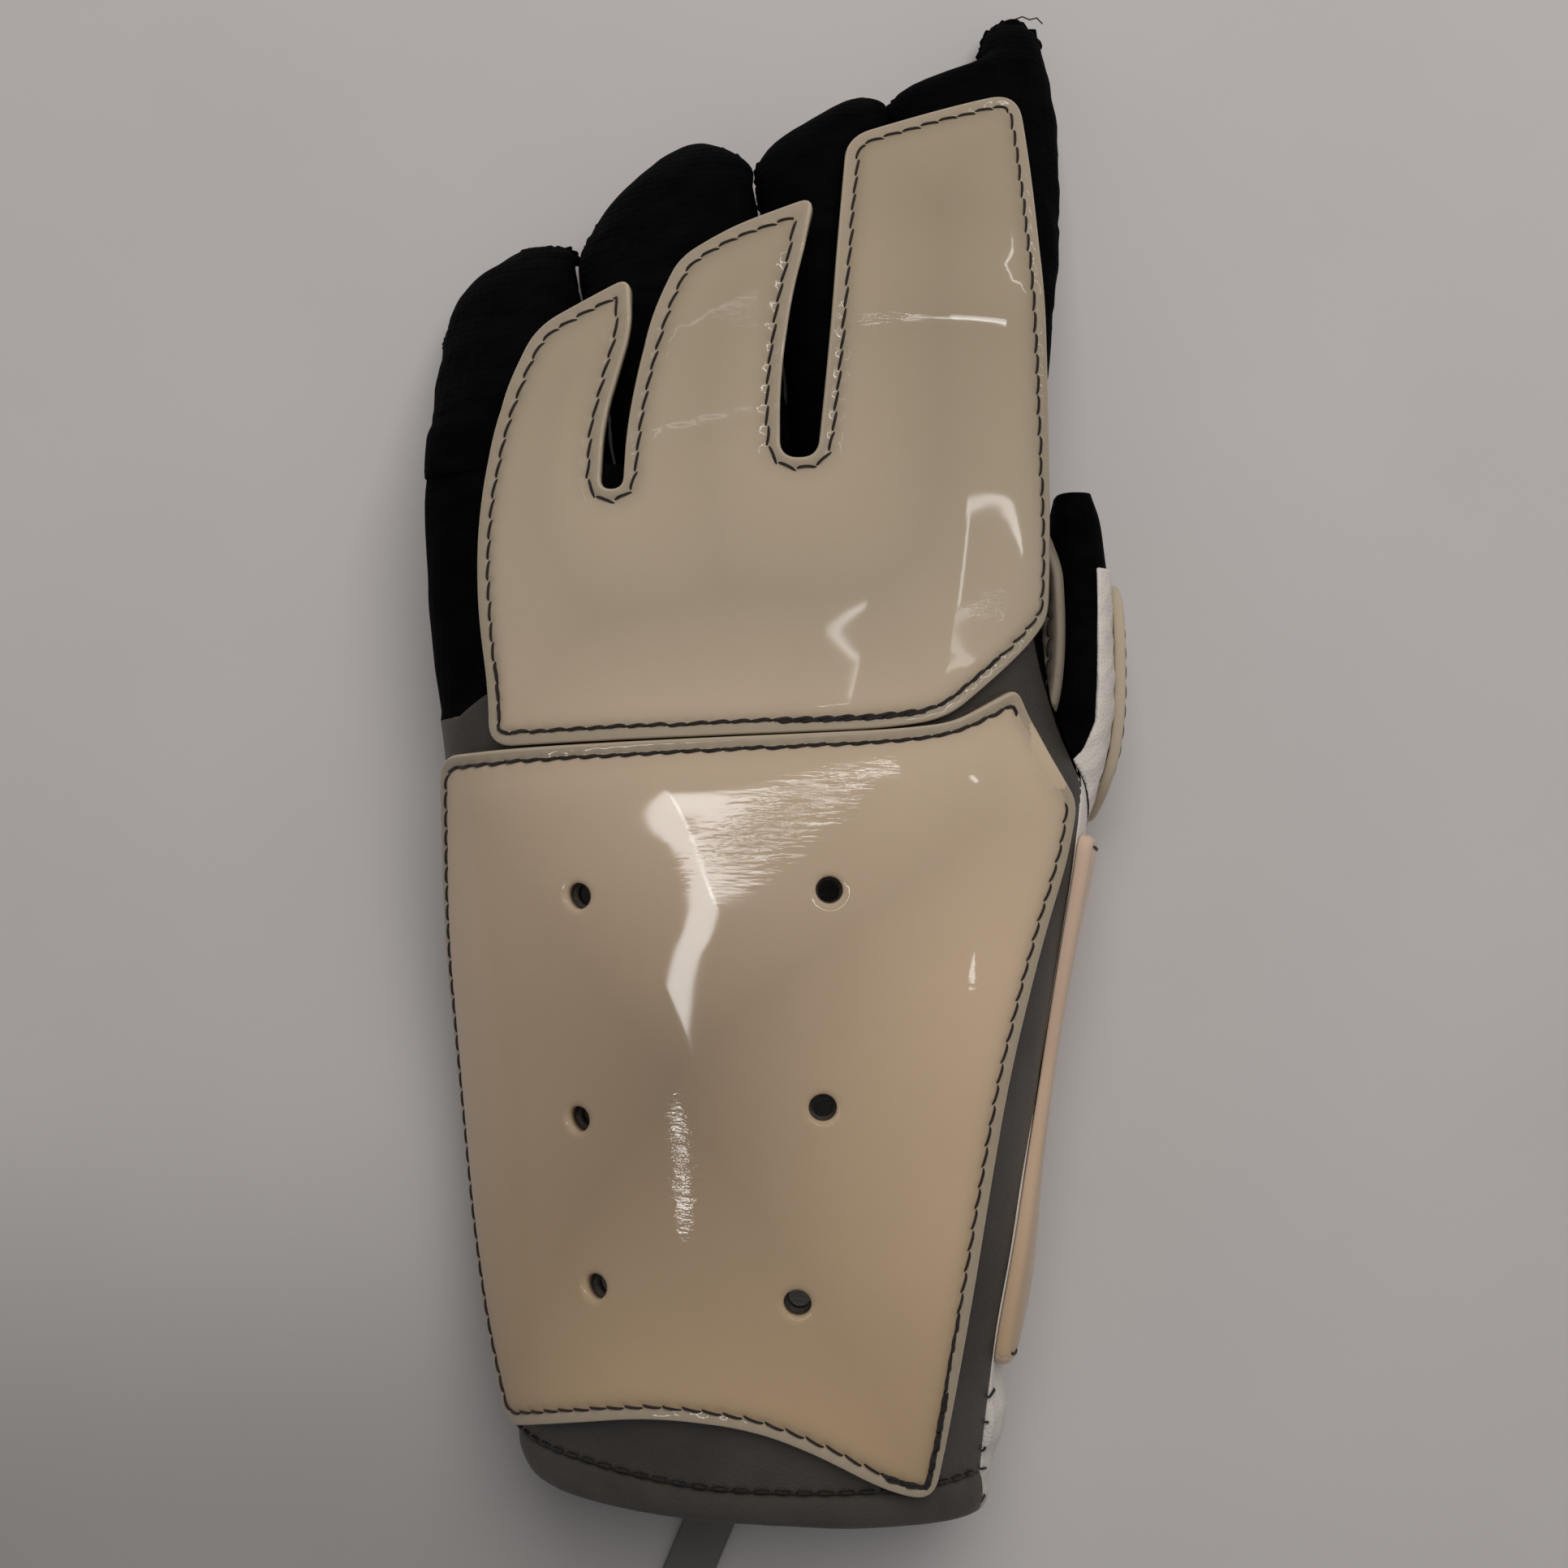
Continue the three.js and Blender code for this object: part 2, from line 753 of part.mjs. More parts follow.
function fingerGeometry(finger) {
  const turns = ringTurns(14);
  const tip = finger.rows.at(-1).y;
  const outer = [...steps(KNUCKLES, tip - 12, 6), ...steps(tip - 12, tip, 4).slice(1)];
  const inner = steps(KNUCKLES, finger.hollowTo, 7);
  return closedFinger(
    outer.map((y) => fingerRing(finger, y, 0, turns)),
    inner.map((y) => fingerRing(finger, y, CLOTH, turns)),
  );
}

// The thumb is a tube that is cut in two: white leather on its outer side, and black cloth on
// top, on its inner side and round its tip.
function thumbRings(from, to, count, inset) {
  const turns = ringTurns(18);
  return steps(from, to, count).map((y) => {
    const section = thumbSection(y);
    section.left += inset;
    section.right -= inset;
    section.top -= inset;
    section.base += inset;
    return turns.map((turn) => {
      const [x, z] = roundedSection(section, turn);
      return new THREE.Vector3(x, y, z);
    });
  });
}

const THUMB_START = THUMB[0].y;
const THUMB_END = THUMB.at(-1).y;

function thumbTube() {
  const outer = thumbRings(THUMB_START, THUMB_END, 10, 0);
  const inner = thumbRings(THUMB_START, THUMB_HOLLOW_TO, 8, CLOTH);
  return toSolid(closedFinger(outer, inner)).subtract(swollenBody());
}

function thumbHollow() {
  return toSolid(solidLoft(thumbRings(THUMB_START, THUMB_HOLLOW_TO, 8, CLOTH)));
}

function openedForThumb(wall) {
  return fromSolid(largest(toSolid(wall).subtract(thumbHollow())));
}

function largest(solid) {
  return solid.decompose().sort((a, b) => b.volume() - a.volume())[0];
}

// The block that holds the leather side of the thumb
function leatherSide(gap) {
  const box = new THREE.BoxGeometry(30, 80, 60);
  box.translate(THUMB_SEAM_X - gap + 15, THUMB_SEAM_END + gap - 40, 22);
  return toSolid(box);
}

function thumbLeatherGeometry() {
  return fromSolid(largest(thumbTube().intersect(leatherSide(0))));
}

function thumbGussetGeometry() {
  return fromSolid(largest(thumbTube().subtract(leatherSide(SEAM_GAP))));
}

// The outer form of the gauntlet and hand, a little swollen, which trims the root of the thumb
function swollenBody() {
  const rows = steps(-60, KNUCKLES + 10, 27).map((y) => {
    const line = body.line(y);
    const places = steps(line[0].distance, line.at(-1).distance, 64);
    const ring = places.map((s) => lifted(body, s, y, SEAM_GAP));
    return [...ring.slice(0, -1), ring[0]];
  });
  return toSolid(solidLoft(rows));
}

// The rubber sheets
function handPlateGeometry() {
  const sheet = { thickness: RUBBER, seat: SEAT, cell: { across: 7, along: 10 } };
  return bentSheet(body, outlineShape(HAND_OUTLINE), sheet);
}

function forearmPlateGeometry() {
  const cell = { across: 8, along: 13 };
  const sheet = { thickness: RUBBER, seat: GAUNTLET_SEAT, cell, holes: HOLES };
  return bentSheet(body, outlineShape(FOREARM_OUTLINE), sheet);
}

function underPlateGeometry() {
  const sheet = { thickness: RUBBER, seat: GAUNTLET_SEAT, cell: { across: 8, along: 15 } };
  return bentSheet(body, outlineShape(UNDER_OUTLINE), sheet);
}

function thumbSheetGeometry(outline) {
  const sheet = { thickness: RUBBER, seat: SEAT, cell: { across: 5, along: 9 } };
  const bent = bentSheet(thumb, outlineShape(outline), sheet);
  return fromSolid(largest(toSolid(bent).subtract(swollenBody())));
}

const model = new THREE.Group();
const glove = new THREE.Group();
model.add(glove);

function addPiece(name, geometry, material) {
  const piece = new THREE.Mesh(geometry, material);
  piece.name = name;
  glove.add(piece);
}

addPiece("gauntlet_back", gauntletBackGeometry(), greyLeather());
addPiece("hand_cloth", handClothGeometry(), blackCloth());
addPiece("palm_leather", palmLeatherGeometry(), whiteLeather());
addPiece("cuff_hem", cuffHemGeometry(), greyLeather());
addPiece("size_tape", sizeTapeGeometry(), tapeWeave());
for (const finger of FINGERS) {
  addPiece(finger.name, fingerGeometry(finger), blackCloth());
}
addPiece("hand_plate", handPlateGeometry(), creamRubber());
addPiece("forearm_plate", forearmPlateGeometry(), creamRubber());
addPiece("under_plate", underPlateGeometry(), peachRubber());
addPiece("thumb_gusset", thumbGussetGeometry(), blackCloth());
addPiece("thumb_leather", thumbLeatherGeometry(), whiteLeather());
addPiece("thumb_outer_plate", thumbSheetGeometry(THUMB_OUTER_OUTLINE), creamRubber());
addPiece("thumb_inner_plate", thumbSheetGeometry(THUMB_INNER_OUTLINE), creamRubber());

const bounds = new THREE.Box3().setFromObject(glove);
const middle = bounds.getCenter(new THREE.Vector3());
glove.position.set(-middle.x, -middle.y, -bounds.min.z);

export default model;
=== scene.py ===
import math
import bmesh
import bpy
import numpy as np
from mathutils import Matrix, Vector
from mathutils.geometry import delaunay_2d_cdt


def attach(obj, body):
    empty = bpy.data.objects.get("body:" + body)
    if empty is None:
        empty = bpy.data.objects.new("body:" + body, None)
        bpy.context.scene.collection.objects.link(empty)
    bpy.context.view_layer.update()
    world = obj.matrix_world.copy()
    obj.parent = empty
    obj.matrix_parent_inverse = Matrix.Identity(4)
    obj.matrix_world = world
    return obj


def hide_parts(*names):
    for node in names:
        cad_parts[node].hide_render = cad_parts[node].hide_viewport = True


# A target-shooting glove for the left hand, lying palm down on a pale table.
# Everything is worked out in millimetres and handed to Blender in metres by addPiece.
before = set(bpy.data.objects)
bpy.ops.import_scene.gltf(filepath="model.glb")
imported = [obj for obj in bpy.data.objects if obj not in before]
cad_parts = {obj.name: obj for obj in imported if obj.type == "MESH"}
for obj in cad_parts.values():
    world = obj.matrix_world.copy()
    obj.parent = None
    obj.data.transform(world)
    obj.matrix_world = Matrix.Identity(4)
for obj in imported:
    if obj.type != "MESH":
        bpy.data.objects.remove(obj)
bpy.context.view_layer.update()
frameShift = np.array([1.251, 5.0, 0.0])   # from the drawing's origin to the model's
millimetre = 0.001
floorGap = 0.02   # nothing on the glove lies lower than this over the table
knuckleLine = 64.0   # the y where the hand ends and the fingers start


def circle(count):
    return np.arange(count) * 2 * np.pi / count


def runAlong(points):
    # the distance along a line of points, from 0 at its first
    return np.concatenate([[0], np.cumsum(np.linalg.norm(np.diff(points, axis=0), axis=1))])


def placesAt(distance, run, points):
    return np.stack([np.interp(distance, run, column) for column in points.T], -1)


def signedArea(loop):
    after = np.roll(loop, -1, axis=0)
    return (loop[:, 0] * after[:, 1] - loop[:, 1] * after[:, 0]).sum() / 2


def offFloor(points):
    points[..., 2] = np.maximum(points[..., 2], floorGap)
    return points


def tableOf(heads, *rows):
    return {name: np.array(column, float) for name, column in zip(heads.split(), zip(*rows))}


def rowAt(rows, y):
    # smooth reading of a table between its rows
    ys = rows["y"]
    y = np.asarray(y, float)
    i = np.clip(np.searchsorted(ys, y, side="right") - 1, 0, len(ys) - 2)
    before = np.maximum(i - 1, 0)
    after = np.minimum(i + 2, len(ys) - 1)
    span = ys[i + 1] - ys[i]
    t = np.clip((y - ys[i]) / span, 0, 1)
    row = {"y": y}
    for name, v in rows.items():
        if name == "y":
            continue
        leaving = (v[i + 1] - v[before]) / (ys[i + 1] - ys[before]) * span
        arriving = (v[after] - v[i]) / (ys[after] - ys[i]) * span
        row[name] = ((2 * t ** 3 - 3 * t ** 2 + 1) * v[i] + (t ** 3 - 2 * t ** 2 + t) * leaving
                     + (3 * t ** 2 - 2 * t ** 3) * v[i + 1] + (t ** 3 - t ** 2) * arriving)
    return row


def roundedSection(row, turn):
    # x and z round the closed section at each row of a table, for each turn round it
    row = {name: v[:, None] for name, v in row.items()}
    c, s = np.cos(turn), np.sin(turn)
    isRight = c >= 0
    upper = np.where(isRight, row["rightRound"], row["leftRound"])
    power = 2 / np.where(s >= 0, upper, row["lowRound"])
    reach = np.where(isRight, row["right"] - row["crest"], row["crest"] - row["left"])
    side = np.where(isRight, row["rightSide"], row["leftSide"])
    rise = np.where(s >= 0, row["top"] - side, side - row["base"])
    x = row["crest"] + np.sign(c) * reach * np.abs(c) ** power
    z = side + np.sign(s) * rise * np.abs(s) ** power
    return x, z


# the form of the hand, gauntlet and thumb
bodyForm = {
    "rows": tableOf(
        "y left crest right top base leftSide rightSide leftRound rightRound",
        (-156, -51, 2, 43.0, 58.0, 0.0, 25, 27, 1.95, 2.1),
        (-148, -53.5, 3, 43.8, 59.0, 0.0, 25, 27, 1.95, 2.1),
        (-138, -57, 4.5, 44.6, 60.5, 0.5, 23, 27, 1.9, 2.2),
        (-120, -62, 6, 47.0, 63.0, 3.0, 18, 26, 1.75, 2.5),
        (-98, -65.5, 8, 50.0, 65.5, 3.0, 15, 25, 1.65, 2.7),
        (-77, -67.7, 8, 51.8, 66.0, 3.0, 14, 25, 1.65, 2.8),
        (-55, -70, 7, 54.8, 65.5, 3.0, 14, 25, 1.7, 2.9),
        (-34, -71.8, 5, 58.8, 64.0, 3.0, 16, 25, 1.8, 2.8),
        (-13, -72.6, 2, 63.5, 61.5, 3.0, 19, 26, 1.95, 2.6),
        (0, -72.8, 0, 64.5, 60.0, 2.0, 22, 27, 2.1, 2.5),
        (12, -73.6, -1, 59.5, 58.5, 0.0, 24, 27, 2.2, 2.4),
        (24, -74.4, -2, 55.0, 58.0, 1.5, 26, 30, 2.2, 2.7),
        (40, -75.4, -3, 53.6, 58.0, 8.0, 29, 34, 2.2, 2.9),
        (57, -75.6, -3, 53.6, 57.5, 17.0, 32, 36, 2.2, 3.0),
        (72, -75, -3, 54.0, 57.0, 23.0, 33, 37, 2.2, 3.0),
        (100, -73, -3, 55.5, 57.0, 26.0, 33, 38, 2.2, 3.0),
        (160, -70, -3, 56.0, 57.0, 26.0, 33, 38, 2.2, 3.0),
    ),
    "keelSink": 1.5, "keelRound": 3.4,
    # finger lobes of the back: right border, bend line and how steeply each falls beyond it
    "lobes": [
        {"edge": -34, "edgeLean": 0.18, "bendX": -53.6, "bendY": 77, "lean": 0.66, "tilt": 0.8},
        {"edge": 3, "edgeLean": 0.12, "bendX": -24, "bendY": 88.6, "lean": 0.63, "tilt": 0.75},
        {"edge": 999, "edgeLean": 0, "bendX": 14, "bendY": 92, "lean": 0, "tilt": 0.45},
    ],
    "borderY": 60, "bendSoftness": 14,
}
thumbForm = {
    "rows": tableOf(
        "y left right top base",
        (-24, 44, 58, 34, 15), (-10, 48, 63.6, 37, 14), (0, 51.6, 66.8, 39, 9),
        (8, 54, 69, 40, 5), (18, 55.4, 70, 40.5, 2.5), (34, 56.2, 69.8, 40, 3),
        (47, 56.8, 68.8, 39, 5), (56, 57.4, 67.8, 36, 9), (62, 58.6, 66.2, 31, 14),
    ),
    "round": 2.6, "start": -24, "end": 62, "hollowTo": 57, "cloth": 1.8, "folds": 0.3,
    "leatherLift": 0.55, "leatherSink": 0.9, "seamEnd": 45, "seamSearch": (-14, 20, 0.05),
    # how far left the leather reaches at each y
    "seamX": ((-24, -1, 3, 7, 13, 20, 45), (48, 53, 58, 62, 64.8, 65.2, 65.2)),
}


def lobeDrop(lobe, x, y):
    past = y - (lobe["bendY"] + lobe["lean"] * (x - lobe["bendX"]))
    soft = bodyForm["bendSoftness"]
    near = lobe["tilt"] * past * past / (2 * soft)
    far = lobe["tilt"] * (past - soft / 2)
    return np.where(past <= 0, 0.0, np.where(past < soft, near, far))


def bodyDrop(x, y):
    drop = np.zeros_like(x)
    taken = np.zeros(x.shape, bool)
    for lobe in bodyForm["lobes"]:
        mine = ~taken & (x <= lobe["edge"] + lobe["edgeLean"] * (y - bodyForm["borderY"]))
        drop = np.where(mine, lobeDrop(lobe, x, y), drop)
        taken |= mine
    return np.where(y > knuckleLine, drop, 0.0)


def bodySection(y):
    row = rowAt(bodyForm["rows"], y)
    row["floor"] = np.maximum(row["base"], 0)
    row["base"] = row["base"] - bodyForm["keelSink"]
    row["lowRound"] = np.full_like(row["base"], bodyForm["keelRound"])
    row["zero"] = np.zeros_like(row["base"])
    return row


def thumbSection(y):
    row = rowAt(thumbForm["rows"], y)
    row["crest"] = (row["left"] + row["right"]) / 2
    row["leftSide"] = row["rightSide"] = (row["top"] + row["base"]) / 2
    row["floor"] = row["base"]
    for name in ("leftRound", "rightRound", "lowRound"):
        row[name] = np.full_like(row["base"], thumbForm["round"])
    row["zero"] = row["crest"]
    return row


surfaceGrid = {"along": 0.5, "across": 0.25, "turns": 720}


def makeSurface(sectionAt, yFrom, yTo, reach, settle):
    # a grid of points named by their distance over the surface (across) and by y
    along, across, turns = surfaceGrid["along"], surfaceGrid["across"], surfaceGrid["turns"]
    ys = np.arange(yFrom, yTo + along / 2, along)
    row = sectionAt(ys)
    x, z = roundedSection(row, np.pi * (1.5 - 2 * np.arange(turns + 1) / turns))
    z = np.maximum(z, row["floor"][:, None])
    d = np.zeros_like(x)
    d[:, 1:] = np.cumsum(np.hypot(np.diff(x, axis=1), np.diff(z, axis=1)), axis=1)
    over = np.arange(-reach, reach + across / 2, across)
    upper = slice(turns // 4, 3 * turns // 4 + 1)
    grid = np.empty((2, len(ys), len(over)))
    for j in range(len(ys)):
        zero = np.interp(row["zero"][j], x[j, upper], d[j, upper])
        wrapped = (over + zero) % d[j, -1]
        grid[:, j] = np.interp(wrapped, d[j], x[j]), np.interp(wrapped, d[j], z[j])
    return {"y0": yFrom, "s0": -reach, "x": grid[0], "z": grid[1], "ys": ys, "around": d[:, -1],
            "settle": settle}


def surfacePoint(surface, across, y):
    across, y = np.broadcast_arrays(np.asarray(across, float), np.asarray(y, float))
    rows, columns = surface["x"].shape
    u = np.clip((across - surface["s0"]) / surfaceGrid["across"], 0, columns - 1.001)
    v = np.clip((y - surface["y0"]) / surfaceGrid["along"], 0, rows - 1.001)
    i, j = u.astype(int), v.astype(int)
    fu, fv = u - i, v - j

    def read(grid):
        return ((grid[j, i] * (1 - fu) + grid[j, i + 1] * fu) * (1 - fv)
                + (grid[j + 1, i] * (1 - fu) + grid[j + 1, i + 1] * fu) * fv)

    x, z = read(surface["x"]), read(surface["z"])
    return np.stack([x, y, z - surface["settle"](x, y)], -1)


def unit(v):
    return v / np.maximum(np.linalg.norm(v, axis=-1, keepdims=True), 1e-9)


def surfaceNormal(surface, across, y, step=0.5):
    over = surfacePoint(surface, across + step, y) - surfacePoint(surface, across - step, y)
    along = surfacePoint(surface, across, y + step) - surfacePoint(surface, across, y - step)
    return unit(np.cross(over, along))


def lifted(surface, across, y, lift):
    across, y = np.broadcast_arrays(np.asarray(across, float), np.asarray(y, float))
    lift = np.broadcast_to(np.asarray(lift, float), across.shape)
    return surfacePoint(surface, across, y) + lift[..., None] * surfaceNormal(surface, across, y)


body = makeSurface(bodySection, -160, 176, 200, bodyDrop)
thumb = makeSurface(thumbSection, thumbForm["start"], thumbForm["end"], 80, lambda x, y: 0 * x)
print("surfaces ready")


# meshes
def link(item):
    bpy.context.scene.collection.objects.link(item)
    return item


def addPiece(name, points, faces, finish, replaces=(), slot=None, attributes=None):
    # points in drawing millimetres, any shape whose last axis is x, y, z
    points = (np.asarray(points, float).reshape(-1, 3) + frameShift) * millimetre
    mesh = bpy.data.meshes.new(name)
    faces = [np.asarray(f) for f in faces]
    flat = np.concatenate([f.ravel() for f in faces])
    sizes = np.concatenate([np.full(len(f), f.shape[1]) for f in faces])
    mesh.vertices.add(len(points))
    mesh.vertices.foreach_set("co", points.ravel())
    mesh.loops.add(len(flat))
    mesh.loops.foreach_set("vertex_index", flat.astype(np.int32))
    mesh.polygons.add(len(sizes))
    starts = np.concatenate([[0], np.cumsum(sizes)[:-1]])
    mesh.polygons.foreach_set("loop_start", starts.astype(np.int32))
    mesh.polygons.foreach_set("use_smooth", np.ones(len(sizes), bool))
    mesh.update(calc_edges=True)
    mesh.validate()
    for label, values in (attributes or {}).items():
        layer = mesh.attributes.new(label, "FLOAT", "POINT")
        layer.data.foreach_set("value", np.asarray(values, np.float32).ravel())
    mesh.materials.append(finish)
    piece = link(bpy.data.objects.new(name, mesh))
    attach(piece, "root")
    if replaces:
        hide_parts(*replaces)
    return piece


def gridFaces(rows, columns, start=0, flip=False, closed=False):
    # quads over a grid of points; with closed, the last column joins the first
    j, i = np.meshgrid(np.arange(rows - 1), np.arange(columns if closed else columns - 1), indexing="ij")
    j, i = j.ravel(), i.ravel()
    k = (i + 1) % columns
    here, above = start + j * columns, start + (j + 1) * columns
    quads = np.stack([here + i, here + k, above + k, above + i], 1)
    return quads[:, ::-1] if flip else quads


def loftFaces(rows, columns, start=0, flip=False):
    # a tube of rings with a cap at each end
    ring = np.arange(columns)
    first, last = (ring[::-1] + start)[None], (ring + (rows - 1) * columns + start)[None]
    if flip:
        first, last = first[:, ::-1], last[:, ::-1]
    return [gridFaces(rows, columns, start, flip, closed=True), first, last]


def ringAround(side, upper, sides):
    turn = circle(sides)[:, None]
    return np.cos(turn) * side[..., None, :] + np.sin(turn) * upper[..., None, :]


def wallOf(outer, inner):
    # a closed wall between two grids of points of one size
    rows, columns = outer.shape[:2]
    count = rows * columns
    faces = [gridFaces(rows, columns), gridFaces(rows, columns, count, flip=True)]
    rim = np.concatenate([np.arange(columns), columns - 1 + columns * np.arange(1, rows),
                          count - 2 - np.arange(columns - 1), columns * np.arange(rows - 2, 0, -1)])
    after = np.roll(rim, -1)
    faces.append(np.stack([after, rim, rim + count, after + count], 1))
    return np.concatenate([outer.reshape(-1, 3), inner.reshape(-1, 3)]), faces


def ripple(points, seed, size, octaves=3):
    # smooth seeded unevenness between about -1 and 1, from a few waves in random directions
    rng = np.random.default_rng(seed)
    out = np.zeros(points.shape[:-1])
    for k in range(octaves * 5):
        wave = 2 ** (k // 5)
        direction = unit(rng.normal(size=3))
        out += np.sin(points @ direction * (2 * np.pi * wave / size) + rng.uniform(0, 6.3)) / wave
    return out / 3.4


# finishes
def feed(tree, node, inputs):
    # gives a node's inputs their values, or links them to other nodes' outputs
    for key, value in dict(inputs).items():
        if isinstance(value, bpy.types.NodeSocket):
            tree.links.new(value, node.inputs[key])
        else:
            node.inputs[key].default_value = value


def put(tree, kind, out, inputs=(), **settings):
    # adds a node and returns the named output of it
    node = tree.nodes.new("ShaderNode" + kind)
    for key, value in settings.items():
        setattr(node, key, value)
    feed(tree, node, inputs)
    return node.outputs[out]


def noise(tree, place, scale, detail):
    return put(tree, "TexNoise", "Fac", {"Vector": place, "Scale": scale, "Detail": detail})


def ranged(tree, source, low=0.0, high=1.0, toLow=0.0, toHigh=1.0, **settings):
    spans = {"Value": source, "From Min": low, "From Max": high, "To Min": toLow, "To Max": toHigh}
    return put(tree, "MapRange", "Result", spans, **settings)


def combined(tree, operation, *values):
    return put(tree, "Math", "Value", enumerate(values), operation=operation)


def scaled(tree, colour, shade):
    return put(tree, "VectorMath", "Vector", {0: colour, "Scale": shade}, operation="SCALE")


def ramped(tree, source, *tones):
    # a colour ramp through tones, each a position and a colour in picture values
    out = put(tree, "ValToRGB", "Color", {"Fac": source})
    stops = out.node.color_ramp.elements
    for k, (position, colour) in enumerate(tones):
        stop = stops[k] if k < 2 else stops.new(position)
        stop.position, stop.color = position, (*linear(colour), 1)
    return out


def bumped(tree, height, strength, distance):
    return put(tree, "Bump", "Normal", {"Height": height, "Strength": strength, "Distance": distance})


def newFinish(name):
    # a material, its nodes, its shader node, and the place on the object
    material = bpy.data.materials.new(name)
    material.use_nodes = True
    tree = material.node_tree
    return material, tree, tree.nodes["Principled BSDF"], put(tree, "TexCoord", "Object")


def speckle(tree, place, scale, detail, low, high):
    # a noise read through a ramp between two colours
    return ramped(tree, noise(tree, place, scale, detail), (0.3, low), (0.7, high))


def linear(colour):
    # picture values from 0 to 255 to the shader's scale
    c = np.array(colour) / 255
    return tuple(np.where(c <= 0.04045, c / 12.92, ((c + 0.055) / 1.055) ** 2.4))


rubberLook = {
    # colours from the cuff to the fingertips, as picture values
    "tones": ((0.0, (180, 153, 117)), (0.42, (208, 182, 153)), (0.68, (193, 175, 151)),
              (0.97, (166, 150, 126))),
    # edge is the colour of a painted highlight along each sheet's rounded cut edge
    "from": -0.15, "to": 0.13, "rim": (166, 151, 130), "edge": (184, 169, 147), "rimReach": 8.0,
    # one value here sets how dark the painted shade along each seam's groove gets
    "mottle": 0.06, "seamShade": 0.86, "roughness": 0.045, "scatter": 0.12, "bump": 0.035, "scratch": 6.0,
}


def rubberFinish(name, look):
    material, tree, shader, place = newFinish(name)
    height = put(tree, "SeparateXYZ", "Y", {0: place})
    body = ramped(tree, ranged(tree, height, look["from"], look["to"]), *look["tones"])
    mottle = ranged(tree, noise(tree, place, 26, 4), toLow=1 - look["mottle"], toHigh=1 + look["mottle"])
    # painted shade: a soft dark line along the seam's groove, and small dirt specks
    depth = put(tree, "Attribute", "Fac", attribute_name="rimDepth")
    inward = combined(tree, "DIVIDE", depth, look["rimReach"])
    seamShade = put(tree, "FloatCurve", "Value", {"Value": inward})
    mapping = seamShade.node.mapping
    points = mapping.curves[0].points
    points[0].location, points[1].location = (0.0, 1.0), (1.0, 1.0)
    for spot in ((0.27, 1.0), (0.34, look["seamShade"]), (0.42, look["seamShade"] + 0.03), (0.7, 0.99)):
        points.new(*spot)
    mapping.update()
    specks = put(tree, "TexVoronoi", "Distance", {"Vector": place, "Scale": 38.0})
    shade = combined(tree, "MULTIPLY", seamShade, mottle)
    shade = combined(tree, "MULTIPLY", shade, ranged(tree, specks, 0.012, 0.022, 0.45))
    # the band outside the seam is greyer, with a painted highlight along its rounded cut edge
    rimWithEdgeHighlight = ramped(tree, inward, (0.035, look["edge"]), (0.09, look["rim"]))
    blend = {"Factor": ranged(tree, inward, 0.26, 0.33), 6: rimWithEdgeHighlight, 7: scaled(tree, body, shade)}
    # handling marks: a little rougher in clouds, scratched where the worn value is high
    worn = put(tree, "Attribute", "Fac", attribute_name="worn")
    rough = ranged(tree, noise(tree, place, 60, 6),
                   toLow=look["roughness"] * 0.6, toHigh=look["roughness"] * 1.5)
    slant = {"Vector": place, "Rotation": (0, 0, 0.5), "Scale": (150, 900, 900)}
    scratches = noise(tree, put(tree, "Mapping", "Vector", slant, vector_type="POINT"), 1.0, 3.0)
    cuts = combined(tree, "MULTIPLY", scratches, worn)
    relief = combined(tree, "MULTIPLY_ADD", cuts, look["scratch"], noise(tree, place, 70, 2))
    feed(tree, shader, {
        "Base Color": put(tree, "Mix", 2, blend, data_type="RGBA"), "Roughness": rough,
        "Normal": bumped(tree, relief, look["bump"], 0.0006), "Subsurface Weight": look["scatter"],
        "Subsurface Radius": (0.004, 0.0025, 0.0015), "Subsurface Scale": 1.0, "Specular IOR Level": 0.5,
    })
    return material


def leatherFinish(name, low, high, roughness, grain, bumpHeight):
    material, tree, shader, place = newFinish(name)
    cells = put(tree, "TexVoronoi", "Distance", {"Vector": place, "Scale": grain}, feature="DISTANCE_TO_EDGE")
    feed(tree, shader, {
        "Base Color": speckle(tree, place, 45, 6, low, high), "Roughness": roughness,
        "Normal": bumped(tree, ranged(tree, cells, 0.0, 0.25), 0.6, bumpHeight),
    })
    return material


def knitFinish(name, low, high, pitch):
    # ribs of stretch cloth: two crossed waves, finer than the eye resolves from above
    material, tree, shader, place = newFinish(name)
    waves = []
    for axis, distortion in (("X", 1.5), ("Y", 1.0)):
        wave = {"Vector": place, "Scale": 1 / (pitch * 6.28), "Distortion": distortion}
        waves.append(put(tree, "TexWave", "Fac", wave, bands_direction=axis))
    feed(tree, shader, {
        "Base Color": speckle(tree, place, 160, 4, low, high), "Roughness": 0.95, "Specular IOR Level": 0.05,
        "Normal": bumped(tree, combined(tree, "MULTIPLY", *waves), 0.5, 0.0003),
    })
    return material


def threadFinish(name, colour):
    material, tree, shader, place = newFinish(name)
    lit = [1.6 * c for c in colour]
    feed(tree, shader, {"Base Color": speckle(tree, place, 900, 2, colour, lit), "Roughness": 0.5})
    return material


creamRubber = rubberFinish("creamRubber", rubberLook)
thumbRubber = rubberFinish("thumbRubber", {
    **rubberLook, "tones": ((0.4, (198, 180, 158)), (0.8, (196, 180, 158))), "rim": (170, 155, 134)})
